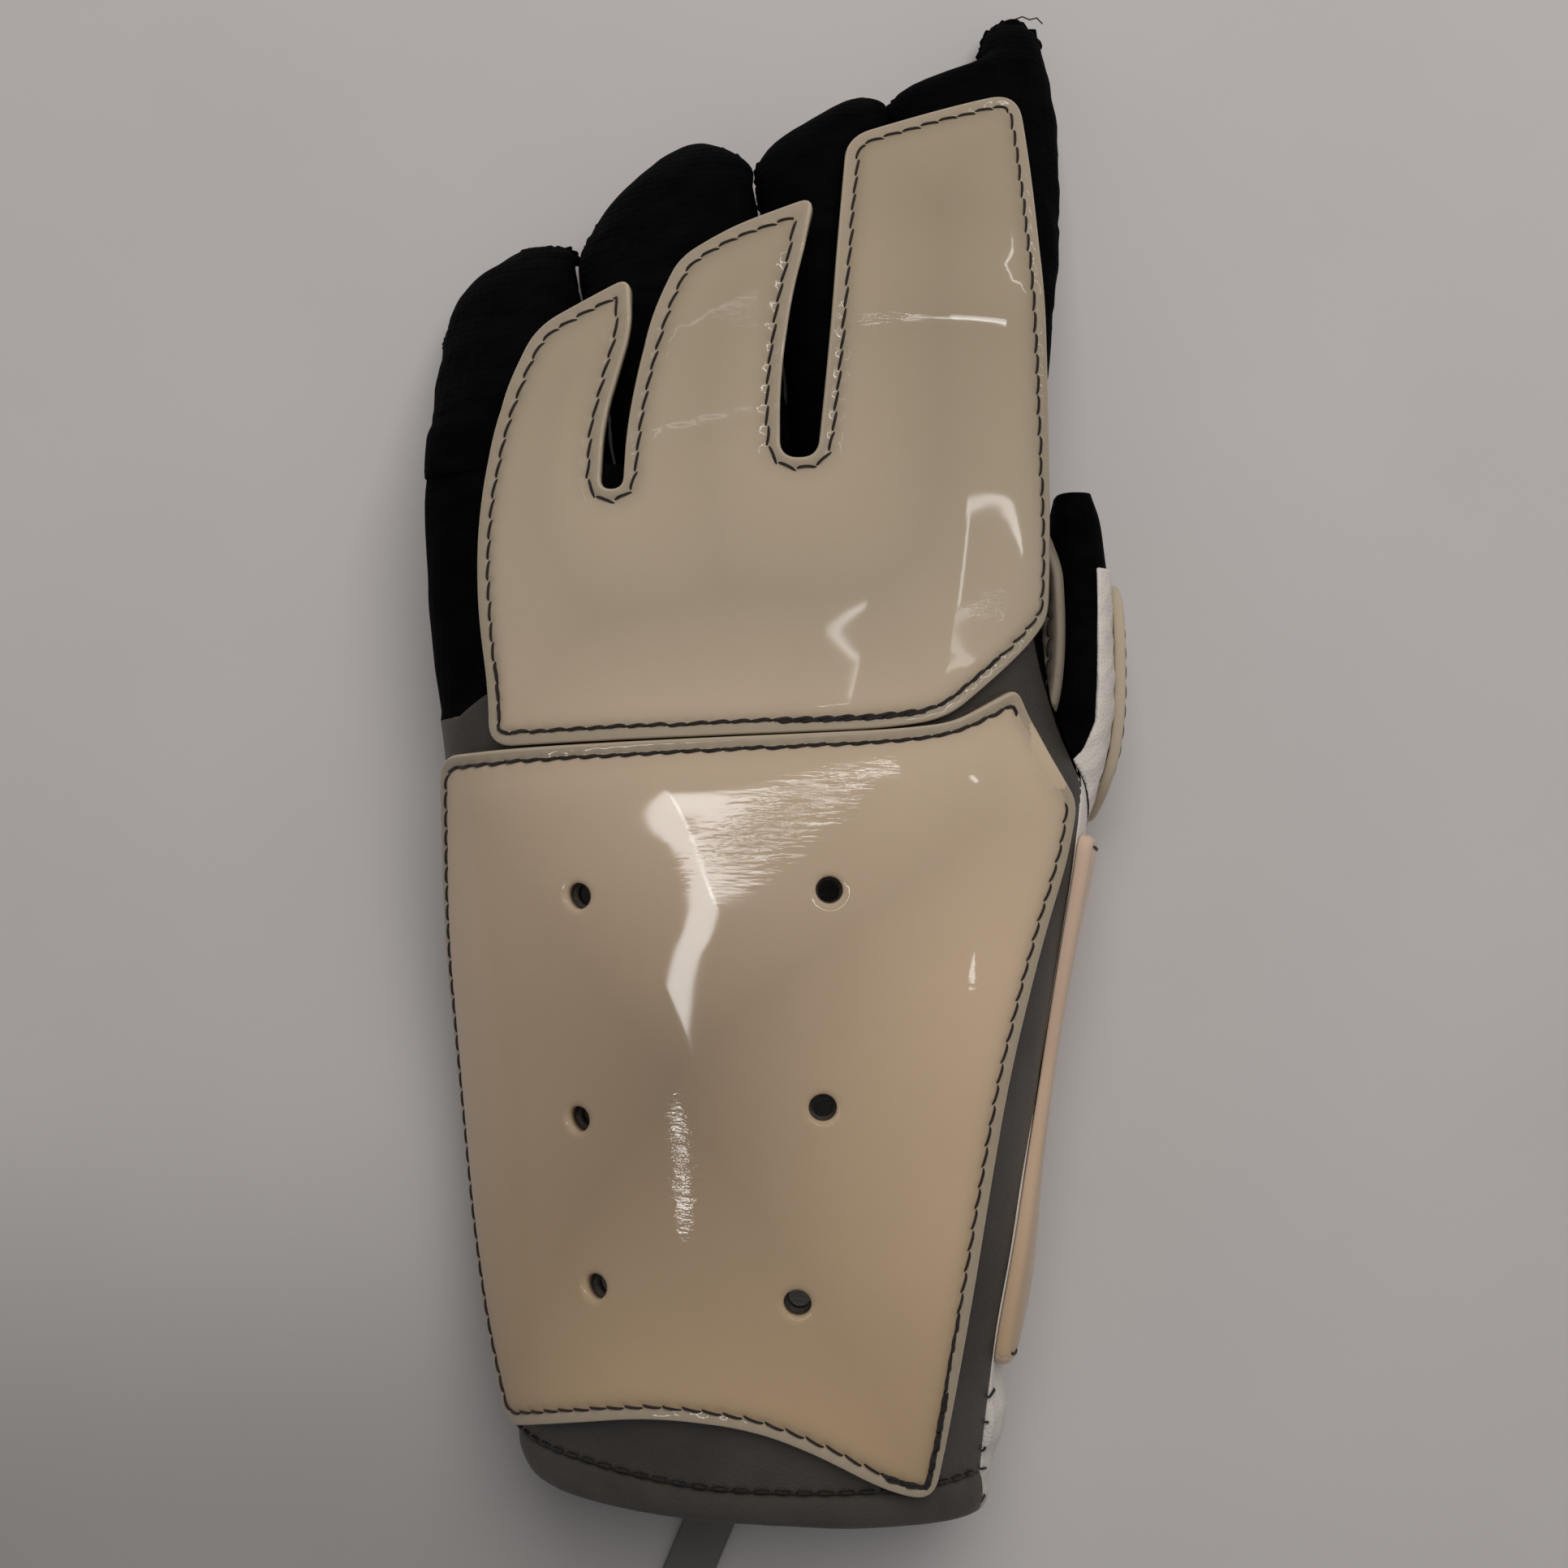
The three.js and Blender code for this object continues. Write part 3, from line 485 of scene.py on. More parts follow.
# painted shade: the inner thumb plate is the same cream rubber, coloured darker for the shade it lies in
shadedInnerRubber = rubberFinish("shadedInnerRubber", {
    **rubberLook, "tones": ((0.4, (152, 140, 124)), (0.8, (150, 138, 122))),
    "rim": (132, 122, 108), "edge": (140, 129, 114)})
peachRubber = rubberFinish("peachRubber", {
    **rubberLook, "tones": ((0.1, (190, 162, 128)), (0.5, (212, 184, 162))),
    "rim": (204, 176, 152), "edge": (208, 180, 156), "roughness": 0.22})
greyLeather = leatherFinish("greyLeather", (58, 53, 48), (74, 68, 62), 0.5, 1100, 0.00012)
whiteLeather = leatherFinish("whiteLeather", (214, 206, 196), (227, 220, 211), 0.65, 900, 0.0001)
blackKnit = knitFinish("blackKnit", (4, 4, 5), (9, 9, 11), 0.0009)
# painted shade: the white tape is coloured grey, as it looks in the shade under the cuff
shadedTapeWeave = leatherFinish("shadedTapeWeave", (98, 94, 90), (114, 110, 106), 0.8, 2600, 0.00006)
blackThread = threadFinish("blackThread", (30, 27, 26))
print("finishes ready")


# sheets of rubber bent over the glove
def outlineLoop(corners, spacing):
    # the flat outline, each corner cut back by its last value and bridged by a curve
    xy = np.array([corner[:2] for corner in corners], float)
    t = np.linspace(0, 1, 9)[:, None]
    dense = []
    for i, (here, corner) in enumerate(zip(xy, corners)):
        ends = []
        for other in (xy[i - 1], xy[(i + 1) % len(xy)]):
            gap = np.linalg.norm(other - here)
            ends.append(here + (other - here) * min(corner[2], 0.49 * gap) / gap)
        dense.extend((1 - t) ** 2 * ends[0] + 2 * t * (1 - t) * here + t ** 2 * ends[1])
    return evenLoop(np.array(dense), spacing)


def evenLoop(points, spacing):
    closed = np.vstack([points, points[:1]])
    run = runAlong(closed)
    count = max(8, int(round(run[-1] / spacing)))
    return placesAt(np.arange(count) * run[-1] / count, run, closed)


def inBatches(points, measure):
    # measures many points a few thousand at a time, to spare memory
    return np.concatenate([measure(points[k:k + 4000, None]) for k in range(0, len(points), 4000)])


def rimDepth(points, loop):
    # distance in from the outline, negative outside it
    a, b = loop, np.roll(loop, -1, axis=0)
    ab = b - a
    span = (ab ** 2).sum(1)

    def depth(p):
        t = np.clip(((p - a) * ab).sum(2) / span, 0, 1)
        gap = np.sqrt((((p - a) - t[..., None] * ab) ** 2).sum(2).min(1))
        above = (a[:, 1] > p[..., 1]) != (b[:, 1] > p[..., 1])
        with np.errstate(divide="ignore", invalid="ignore"):
            crossing = a[:, 0] + (p[..., 1] - a[:, 1]) * ab[:, 0] / ab[:, 1]
        inside = (above & (p[..., 0] < crossing)).sum(1) % 2 == 1
        return np.where(inside, gap, -gap)

    return inBatches(points, depth)


def insetLoop(loop, depth, spacing):
    # the outline moved in, without the tangles that sharp corners leave
    way = unit(np.roll(loop, -1, axis=0) - np.roll(loop, 1, axis=0))
    moved = loop + depth * np.stack([-way[:, 1], way[:, 0]], 1) * np.sign(signedArea(loop))
    return evenLoop(moved[rimDepth(moved, loop) > depth - 0.03], spacing)


def flatMesh(outline, holes, rings, spacing, cell):
    # triangles over the flat cut, with rows of points that follow its outline and its holes
    loops = [outline] + [insetLoop(outline, depth, spacing) for depth in rings]
    for x, y, radius in holes:
        for grow in (0, 0.3, 0.8, 1.6):
            turn = circle(28)
            loops.append(np.array([x, y]) + (radius + grow) * np.stack([np.cos(turn), np.sin(turn)], 1))
    low, high = outline.min(0), outline.max(0)
    grid = np.stack(np.meshgrid(np.arange(low[0], high[0], cell), np.arange(low[1], high[1], cell * 0.9)), -1)
    grid[1::2, :, 0] += cell / 2
    grid = grid.reshape(-1, 2)
    grid = grid[rimDepth(grid, outline) > rings[-1] + 0.6 * cell]
    for x, y, radius in holes:
        grid = grid[np.hypot(grid[:, 0] - x, grid[:, 1] - y) > radius + 2.4]
    points, edges = [], []
    for loop in loops:
        first = len(points)
        points.extend(loop)
        edges.extend((first + i, first + (i + 1) % len(loop)) for i in range(len(loop)))
    points.extend(grid)
    found = delaunay_2d_cdt([Vector(p) for p in points], edges, [], 0, 1e-4)
    flat = np.array([tuple(v) for v in found[0]])
    faces = np.array(found[2])
    middle = flat[faces].mean(1)
    keep = rimDepth(middle, outline) > 0
    for x, y, radius in holes:
        keep &= np.hypot(middle[:, 0] - x, middle[:, 1] - y) > radius * 0.99
    a, b, c = (flat[faces[:, k]] for k in range(3))
    area = (b[:, 0] - a[:, 0]) * (c[:, 1] - a[:, 1]) - (b[:, 1] - a[:, 1]) * (c[:, 0] - a[:, 0])
    keep &= np.abs(area) > 1e-7
    faces = np.where(area[:, None] < 0, faces[:, ::-1], faces)[keep]
    return flat, faces


def freeEdges(faces):
    # the edges with a face on one side only, in the direction of that face
    edges = np.concatenate([faces[:, [0, 1]], faces[:, [1, 2]], faces[:, [2, 0]]])
    known = {(e[0], e[1]) for e in edges}
    return np.array([e for e in edges if (e[1], e[0]) not in known])


sheetLook = {
    "seat": 0.6, "thickness": 2.4, "edgeRound": 0.55,
    "stitchInset": 2.6, "stitchPitch": 4.1, "stitchLong": 4.1, "thread": 0.27, "heavyThread": 0.37,
    "slant": 0.5, "bow": 0.5, "groove": 0.25, "pucker": 0.3, "swell": 0.1, "edgeLift": 0.35, "holeSink": 0.4,
    # the spacing of the outline, of the rows that follow it at these depths, and of the points between them
    "outlineStep": 0.8, "rowStep": 0.9, "cell": 1.8,
    "rowDepths": (0.25, 0.55, 0.9, 1.4, 1.9, 2.3, 2.7, 3.1, 3.6, 4.4, 5.4),
}


def inBoxes(flat, boxes):
    # which flat places fall in any of the named boxes: across from, to, along from, to
    found = np.zeros(flat.shape[:-1], bool)
    for left, right, low, high in boxes:
        found |= (flat[..., 0] > left) & (flat[..., 0] < right) & (flat[..., 1] > low) & (flat[..., 1] < high)
    return found


def stitchPlaces(sheet, shift=0.0, aside=0.0):
    # points along each stitch of the seam that runs round inside the outline
    look = sheet["look"]
    line = insetLoop(sheet["loop"], look["stitchInset"] - aside, 0.4)
    if signedArea(line) < 0:
        line = line[::-1]
    closed = np.vstack([line, line[:1]])
    run = runAlong(closed)

    def spot(distance):
        return placesAt(distance % run[-1], run, closed)

    count = int(round(run[-1] / look["stitchPitch"]))
    step = run[-1] / count
    starts = (np.arange(count) + shift) * step
    middle = spot(starts + step / 2)
    heavy = inBoxes(middle, sheet.get("heavy", ()))
    t = np.linspace(0, 1, 7)
    long = np.where(heavy, step * 1.04, look["stitchLong"] * step / look["stitchPitch"])
    along = starts[:, None] + t * long[:, None]
    way = unit(spot(along + 0.4) - spot(along - 0.4))
    outward = np.stack([way[..., 1], -way[..., 0]], -1)
    ahead = unit(spot(starts + step + 1.5) - spot(starts + step))
    behind = unit(spot(starts) - spot(starts - 1.5))
    turning = behind[:, 0] * ahead[:, 1] - behind[:, 1] * ahead[:, 0]
    hollow = np.clip(-turning / 0.5, 0, 1)
    rng = np.random.default_rng(sheet["seed"])
    wave = 0.16 * np.sin(2 * np.pi * (t + 0.1))
    wobble = rng.normal(0, 0.06, (count, 1)) + np.where(heavy[:, None], wave, 0)
    lean = np.where(heavy, 0.4, 1.0)[:, None] * look["slant"] * (t - 0.5)
    bow = look["bow"] * 4 * t * (1 - t) * hollow[:, None]
    places = spot(along) + outward * (lean + wobble + bow)[..., None]
    kept = ~inBoxes(middle, sheet.get("unsewn", ()))
    return places[kept], np.where(heavy, look["heavyThread"], look["thread"])[kept]


def topLift(points, sheet):
    # height of the sheet's upper face over the cloth
    look = sheet["look"]
    depth = rimDepth(points, sheet["loop"])
    lift = np.full(len(points), look["seat"] + look["thickness"])
    edge = np.clip(1 - depth / look["edgeRound"], 0, 1)
    lift -= look["edgeRound"] * (1 - np.sqrt(np.maximum(1 - edge ** 2, 0)))
    away = depth - look["stitchInset"]
    lift -= look["groove"] * np.exp(-(away / 0.9) ** 2)
    lift += look["swell"] * np.clip(away / 6, 0, 1) * np.exp(-np.maximum(away, 0) / 9)
    near = inBatches(points, lambda p: np.sqrt(((p - sheet["pricks"]) ** 2).sum(2).min(1)))
    lift -= look["pucker"] * np.exp(-(near / 0.7) ** 2)
    for *spot, height in sheet.get("bulges", ()):
        lift += height * mound(points, *spot)
    return lift


def mound(places, x, y, reach, aside, turn):
    # 1 at the middle of an oval spot of the flat cut, falling softly to 0 round it
    c, s = math.cos(turn), math.sin(turn)
    u, v = places[..., 0] - x, places[..., 1] - y
    return np.exp(-(((u * c + v * s) / reach) ** 2 + ((v * c - u * s) / aside) ** 2))


def sheetPlace(points, sheet):
    flat = points.reshape(-1, 2)
    place = lifted(sheet["surface"], flat[:, 0], flat[:, 1], topLift(flat, sheet))
    return place.reshape(*points.shape[:-1], 3)


def addSheet(name, sheet, finish, slot):
    loop, look, holes = sheet["loop"], sheet["look"], sheet.get("holes", ())
    flat, faces = flatMesh(loop, holes, look["rowDepths"], look["rowStep"], look["cell"])
    top = sheetPlace(flat, sheet)
    over, along = (sheetPlace(flat + step, sheet) - sheetPlace(flat - step, sheet)
                   for step in (np.array((0.3, 0)), np.array((0, 0.3))))
    depth = rimDepth(flat, loop)
    under = look["seat"] + look["edgeLift"] * np.clip(1 - depth / 0.5, 0, 1)
    bottom = lifted(sheet["surface"], flat[:, 0], flat[:, 1], under)
    sink = np.zeros(len(flat))
    for x, y, radius in holes:
        past = np.hypot(flat[:, 0] - x, flat[:, 1] - y) - radius
        sink += look["holeSink"] * np.clip(1 - past / 0.7, 0, 1)
    top -= sink[:, None] * unit(np.cross(over, along))
    worn = np.zeros(len(flat))
    for spot in sheet.get("worn", ()):
        worn = np.maximum(worn, mound(flat, *spot))
    rim = depth + 6 * inBoxes(flat, sheet.get("plainEdge", ()))
    count = len(flat)
    free = freeEdges(faces)
    side = np.stack([free[:, 1], free[:, 0], free[:, 0] + count, free[:, 1] + count], 1)
    values = {"rimDepth": np.concatenate([rim, depth * 0]), "worn": np.concatenate([worn, worn * 0])}
    faces = [faces, faces[:, ::-1] + count, side]
    points = offFloor(np.concatenate([top, bottom]))
    piece = addPiece(name, points, faces, finish, (sheet["node"],), slot, values)
    return piece


stitchLook = {"sink": 0.12, "rise": 0.16, "sides": 8}


def addStitches(name, paths, outward, radii):
    # paths is stitches x points x 3; each stitch dips into the sheet at its two ends
    count, steps, _ = paths.shape
    sink, rise, sides = stitchLook["sink"], stitchLook["rise"], stitchLook["sides"]
    t = np.linspace(0, 1, steps)
    fromEnd = np.minimum(t, 1 - t)
    arch = -sink + (sink + rise) * np.minimum(1, 6 * fromEnd) ** 0.7
    swell = 0.6 + 0.45 * np.minimum(1, 5 * fromEnd)
    middle = paths + arch[None, :, None] * outward
    way = unit(np.gradient(middle, axis=1))
    side = unit(np.cross(way, outward))
    radii = np.broadcast_to(radii, (count,))[:, None, None, None]
    ring = ringAround(side, np.cross(side, way), sides)
    points = middle[:, :, None] + radii * swell[None, :, None, None] * ring
    offsets = (np.arange(count) * steps * sides)[:, None, None]
    faces = [(part + offsets).reshape(-1, part.shape[1]) for part in loftFaces(steps, sides, flip=True)]
    addPiece(name, offFloor(points), faces, blackThread)


def sewnSheet(sheet):
    sheet["loop"] = outlineLoop(sheet["outline"], sheet["look"]["outlineStep"])
    stitches, radii = stitchPlaces(sheet)
    sheet["pricks"] = stitches[:, [0, -1]].reshape(-1, 2)
    # where the seam was sewn twice, a second run lies half a stitch on
    again, radiiAgain = stitchPlaces(sheet, 0.5, 0.5)
    kept = inBoxes(again.mean(1), sheet.get("sewnTwice", ()))
    return np.concatenate([stitches, again[kept]]), np.concatenate([radii, radiiAgain[kept]])


handSheet = {
    "node": "hand_plate", "surface": body, "look": sheetLook, "seed": 3, "under": "handCloth",
    "outline": [
        (-60.8, 7.6, 6), (0, 9.85, 20), (21, 10.85, 8), (32, 12.9, 5), (48.5, 27, 8), (55.6, 34.6, 3),
        (56, 44, 5), (53.6, 78, 14), (52, 104, 12), (51, 126, 10), (49.2, 145.4, 7), (12.8, 132, 5),
        (11, 112, 10), (8.6, 84, 10), (6.6, 64.6, 3.4), (-0.8, 64.6, 3.4), (-0.8, 80, 8), (1.6, 97, 6),
        (6.6, 116, 3), (-10, 110.2, 6), (-20, 104.4, 4), (-27, 90, 8), (-31, 72, 8), (-31.8, 58.6, 2.2),
        (-36.4, 58.6, 2.2), (-35.6, 72, 6), (-30.2, 90, 4), (-30, 100.4, 3), (-49.2, 91.2, 5),
        (-57.6, 75, 8), (-62, 54, 10), (-62.6, 36, 10), (-60.4, 18, 8),
    ],
    "heavy": [(-60, 50, 0, 25)], "sewnTwice": [(-1, 29, 8, 20)],
    "bulges": [(47, 40, 5, 12, -0.15, 0.2), (-16, 70.5, 14, 1.2, 0.23, 0.12)],
    "worn": [(45, 36, 5, 5, 0), (8, 92, 14, 3, 0)],
}
forearmSheet = {
    "node": "forearm_plate", "surface": body, "look": {**sheetLook, "seat": 0.8}, "seed": 5,
    "under": "gauntletBack",
    "outline": [
        (-76, 6, 6), (-56, 7.25, 10), (0, 9.5, 20), (22, 10.6, 6), (33, 12.0, 4), (43, 17.4, 4),
        (47, 19.4, 3), (49.4, 14.2, 3), (55.6, 2.8, 3), (60.8, -4, 3), (58.8, -14, 5), (52, -32, 10),
        (44.4, -57, 12), (37.7, -94.5, 15), (31.6, -132, 8), (29.6, -142.4, 5), (20.6, -139.5, 8),
        (5.7, -130.4, 9), (-7, -126, 8), (-26, -125.6, 10), (-48, -130.6, 10), (-66, -135.4, 6),
        (-71, -127, 6), (-79, -110, 10), (-85, -88, 12), (-86.5, -60, 14), (-84.5, -32, 14), (-79, -6, 8),
    ],
    "holes": [(-41.2, -22.3, 2.65), (-43, -67.4, 2.65), (-39.2, -101.1, 2.65),
              (8.8, -21, 2.65), (7.6, -62.7, 2.65), (2.9, -100.5, 2.65)],
    "heavy": [(-74, 47, 1, 18), (20, 36, -140, -105)], "sewnTwice": [(20, 36, -140, -118)],
    "unsewn": [(47.5, 61, -3, 17)], "plainEdge": [(50, 61, -1, 15)],
    "bulges": [(54, -3, 4, 9, 0.4, -0.3)],
    "worn": [(4, -6, 16, 6, 0.45), (-19, -74, 4, 12, 0), (40, -40, 3, 3, 0)],
}
underSheet = {
    "node": "under_plate", "surface": body, "seed": 7, "under": "palmLeather",
    "look": {**sheetLook, "seat": 0.25, "thickness": 2.9, "edgeRound": 2.5, "edgeLift": 0.1},
    "outline": [
        (66.0, -10, 4), (65.4, -24, 8), (65.4, -46, 10), (65.2, -59, 5), (60.4, -72.5, 5), (55.4, -85, 8),
        (51, -98, 8), (48.4, -109, 5), (47.2, -118, 3), (53, -119.5, 3), (61, -111, 6), (76, -108, 10),
        (152, -108, 12), (152, -12, 12), (92, -12, 12),
    ],
    "unsewn": [(40, 71, -116, 0)], "plainEdge": [(40, 69.5, -116, 0)],
}
thumbOuterSheet = {
    "node": "thumb_outer_plate", "surface": thumb, "look": sheetLook, "seed": 9, "under": "thumbLeather",
    "outline": [(10.4, 10, 6), (10.2, 22, 9), (11, 34, 6), (14.5, 41, 5), (24, 44, 6), (34, 40, 8),
                (37, 14, 10), (33, -3, 6), (22, -9, 5), (13, 0, 5)],
}
thumbInnerSheet = {
    "node": "thumb_inner_plate", "surface": thumb, "look": sheetLook, "seed": 11, "under": "thumbGusset",
    "outline": [(-8.6, 8.6, 3), (-5.2, 16, 5), (-3.9, 30, 8), (-4.6, 46, 4), (-11, 55, 5), (-23, 51, 6),
                (-29, 36, 8), (-29, 16, 6), (-20, 9, 5)],
}
sheets = {
    "handSheet": (handSheet, creamRubber, "cream_rubber"),
    "forearmSheet": (forearmSheet, creamRubber, "cream_rubber"),
    "underSheet": (underSheet, peachRubber, "peach_rubber"),
    "thumbOuterSheet": (thumbOuterSheet, thumbRubber, "cream_rubber"),
    "thumbInnerSheet": (thumbInnerSheet, shadedInnerRubber, "cream_rubber"),
}


def addSheets():
    for name, (sheet, finish, slot) in sheets.items():
        flat, radii = sewnSheet(sheet)
        sheet["piece"] = addSheet(name, sheet, finish, slot)
        outward = surfaceNormal(sheet["surface"], flat[..., 0], flat[..., 1])
        addStitches(name + "Stitches", sheetPlace(flat, sheet), outward, radii)


# leather and cloth walls of the gauntlet and hand
wallLook = {
    "leather": 2.0, "cloth": 1.8, "seamGap": 0.4, "cuffEnd": -151.0, "rows": 120, "columns": 150,
    "seams": tableOf("y left right", (-156, -82, 47), (-140, -84, 46.5), (-111, -98, 47.6), (-98, -101, 51),
                     (-72, -103, 60), (-58, -103, 65), (0, -95, 66), (16, -92, 68), (64, -92, 66)),
    # where the leather gives way to cloth at the wrist, and where the hem is sewn, by distance across
    "wrist": ((-95, -72, -62, -50, 30, 44, 50, 55, 60, 66, 75), (13, 14, 19, 20, 20, 26, 31, 30, 20, 2, -6)),
    "hem": ((-90, -57.5, -43.5, -27.9, -15.8, 15.1, 34.2, 50),
            (-137, -137.7, -138.2, -139.5, -140.4, -140.8, -141.3, -141.9)),
    "hemEnd": ((-90, -45, 0, 25, 48), (-146, -146.5, -147.4, -149, -151.5)),
}


def lineAt(name, across):
    return np.interp(across, *wallLook[name])


def border(name, shift=0.0):
    return lambda across: lineAt(name, across) + shift


def level(y):
    return lambda across: np.full_like(across, y)


def backSpan(y):
    row = rowAt(wallLook["seams"], y)
    return row["left"], row["right"]


def palmSpan(y):
    left, right = backSpan(y)
    around = np.interp(y, body["ys"], body["around"])
    return right + wallLook["seamGap"], left + around - wallLook["seamGap"]


def addWall(name, node, slot, finish, span, yFrom, yTo, thickness, folds):
    # yFrom and yTo give the two ends for each distance across
    u, v = np.meshgrid(np.linspace(0, 1, wallLook["columns"] + 1), np.linspace(0, 1, wallLook["rows"] + 1))
    # the width depends on y and the ends depend on the width, so a few rounds settle both
    y = -140 + 200 * v
    for _ in range(4):
        low, high = span(y[:, 0])
        across = low[:, None] + (high - low)[:, None] * u
        y = yFrom(across) + v * (yTo(across) - yFrom(across))
    base = surfacePoint(body, across, y)
    edge = np.clip(np.minimum(u, 1 - u) * 25, 0, 1) * np.clip(np.minimum(v, 1 - v) * 25, 0, 1)
    bump = folds["soft"] * ripple(base, 7, 30) * edge
    for *spot, height in folds.get("creases", ()):
        bump += height * mound(np.stack([across, y], -1), *spot)
    outer = lifted(body, across, y, np.clip(bump, -0.6, folds["most"]))
    points, faces = wallOf(outer, lifted(body, across, y, -thickness))
    piece = addPiece(name, offFloor(points), faces, finish, (node,), slot)
    return piece


backFolds = {"soft": 0.2, "most": 0.25}
clothFolds = {"soft": 0.4, "most": 0.3}
palmFolds = {"soft": 0.5, "most": 1.9,
             "creases": [(53, -132, 6, 17, 1.57, 1.9), (52, -132, 5, 1.2, 0.2, -0.6),
                         (50, -139, 5, 1.0, -0.3, -0.6), (54, -145, 5, 1.2, 0.3, -0.6),
                         (110, 20, 26, 1.6, 0.1, -0.6), (120, 40, 24, 1.6, -0.2, -0.6),
                         (150, 5, 20, 1.4, 0.3, -0.5)]}
gauntletBack = addWall("gauntletBack", "gauntlet_back", "grey_leather", greyLeather, backSpan,
                       border("hem"), border("wrist", -0.1), wallLook["leather"], backFolds)
addWall("handCloth", "hand_cloth", "black_cloth", blackKnit, backSpan,
        border("wrist", 0.1), level(knuckleLine), wallLook["cloth"], clothFolds)
addWall("palmLeather", "palm_leather", "white_leather", whiteLeather, palmSpan,
        level(wallLook["cuffEnd"]), level(knuckleLine - wallLook["seamGap"]), wallLook["leather"], palmFolds)


def cutAway(piece, cutter):
    # takes the cutter's space out of a piece and keeps its largest part
    cut = piece.modifiers.new("cut", "BOOLEAN")
    cut.operation, cut.solver, cut.object = "DIFFERENCE", "EXACT", cutter
    graph = bpy.context.evaluated_depsgraph_get()
    mesh = bpy.data.meshes.new_from_object(piece.evaluated_get(graph))
    piece.modifiers.clear()
    old, piece.data = piece.data, mesh
    bpy.data.meshes.remove(old)
    owner = np.arange(len(mesh.vertices))
    edges = np.empty(len(mesh.edges) * 2, np.int32)
    mesh.edges.foreach_get("vertices", edges)
    edges = edges.reshape(-1, 2)
    while True:
        before = owner.copy()
        low = np.minimum(owner[edges[:, 0]], owner[edges[:, 1]])
        np.minimum.at(owner, edges[:, 0], low)
        np.minimum.at(owner, edges[:, 1], low)
        owner = owner[owner]
        if (owner == before).all():
            break
    kinds, sizes = np.unique(owner, return_counts=True)
    if len(kinds) > 1:
        work = bmesh.new()
        work.from_mesh(mesh)
        work.verts.ensure_lookup_table()
        loose = [work.verts[i] for i in np.nonzero(owner != kinds[sizes.argmax()])[0]]
        bmesh.ops.delete(work, geom=loose, context="VERTS")
        work.to_mesh(mesh)
        work.free()


ventLook = {"radius": 2.2, "sides": 20, "below": 5, "above": 2}


def punchHoles(piece, holes):
    # the vent holes go on through the leather
    sides = ventLook["sides"]
    points, faces = [], []
    for k, (x, y, _) in enumerate(holes):
        place, way = lifted(body, x, y, 0.0), surfaceNormal(body, x, y)
        over = unit(np.cross(way, (0, 1.0, 0)))
        ring = ventLook["radius"] * ringAround(over, np.cross(way, over), sides)
        points.append([place - ventLook["below"] * way + ring, place + ventLook["above"] * way + ring])
        faces += loftFaces(2, sides, 2 * sides * k)
    drill = addPiece("ventDrill", points, faces, blackThread)
    cutAway(piece, drill)
    bpy.data.objects.remove(drill)


punchHoles(gauntletBack, forearmSheet["holes"])

# the rolled hem and its seam
hemLook = {"high": 4.0, "puff": 0.3, "spanY": -144.0, "thread": 0.36, "from": -80, "to": 46, "pitch": 4.2,
           "long": 2.9, "aside": 0.7, "lift": 0.25}


def addHem():
    low, high = backSpan(np.array(hemLook["spanY"]))
    across, turn = np.linspace(low, high, 160), circle(24)
    start, end = lineAt("hem", across) - 0.15, lineAt("hemEnd", across)
    middle, half = (start + end) / 2, (start - end) / 2
    y = middle[:, None] - half[:, None] * np.cos(turn)
    roll = np.sign(np.sin(turn)) * np.abs(np.sin(turn)) ** 0.75
    lift = -wallLook["leather"] / 2 + hemLook["high"] / 2 * roll + 0 * y
    over = across[:, None] + 0 * turn
    points = lifted(body, over, y, lift)
    puff = hemLook["puff"] * ripple(points, 11, 14) * np.clip(np.sin(turn), 0, 1)
    points = points + puff[..., None] * surfaceNormal(body, over, y)
    piece = addPiece("cuffHem", offFloor(points), loftFaces(*y.shape, flip=True), greyLeather, ("cuff_hem",),
                     "grey_leather")


def addRow(name, across, y, look):
    # separate stitches on the glove, from the places of their points
    addStitches(name, lifted(body, across, y, look["lift"]), surfaceNormal(body, across, y), look["thread"])


def addHemStitches():
    places = np.arange(hemLook["from"], hemLook["to"], hemLook["pitch"])
    seam = lineAt("hem", places) + hemLook["aside"]
    t = hemLook["long"] * np.linspace(-0.5, 0.5, 7)
    y = seam[:, None] + np.gradient(seam, places)[:, None] * t
    addRow("cuffHemStitches", places[:, None] + t, y, hemLook)


addHem()
addHemStitches()
whipLook = {"ys": (-124.5, -131.0, -136.5, -141.5, -148.5), "leans": (1.2, -1.0, 1.4, -0.8, 1.0),
            "long": 3.0, "aside": 0.8, "lift": 0.45, "thread": 0.3}


def addWhips():
    # the seam at the right of the cuff is whipped with a few coarse stitches
    ys = np.array(whipLook["ys"])
    t = np.linspace(-0.5, 0.5, 7)
    across = backSpan(ys)[1][:, None] + whipLook["aside"] + whipLook["long"] * t
    y = ys[:, None] + np.array(whipLook["leans"])[:, None] * t
    addRow("cuffWhips", across, y, whipLook)


addWhips()
addSheets()
print("walls and sheets ready")

# the bare tape sewn inside the cuff
tapeLook = {"wide": 12, "thick": 0.9, "lean": -0.42, "x": -8, "cuffY": -146, "from": -181, "to": -139,
            "curl": 0.25, "profile": tableOf("y z", (-181, 1.6), (-173, 1.0), (-164, 1.8), (-155, 2.4),
                                             (-148, 2.5), (-139, 2.9))}


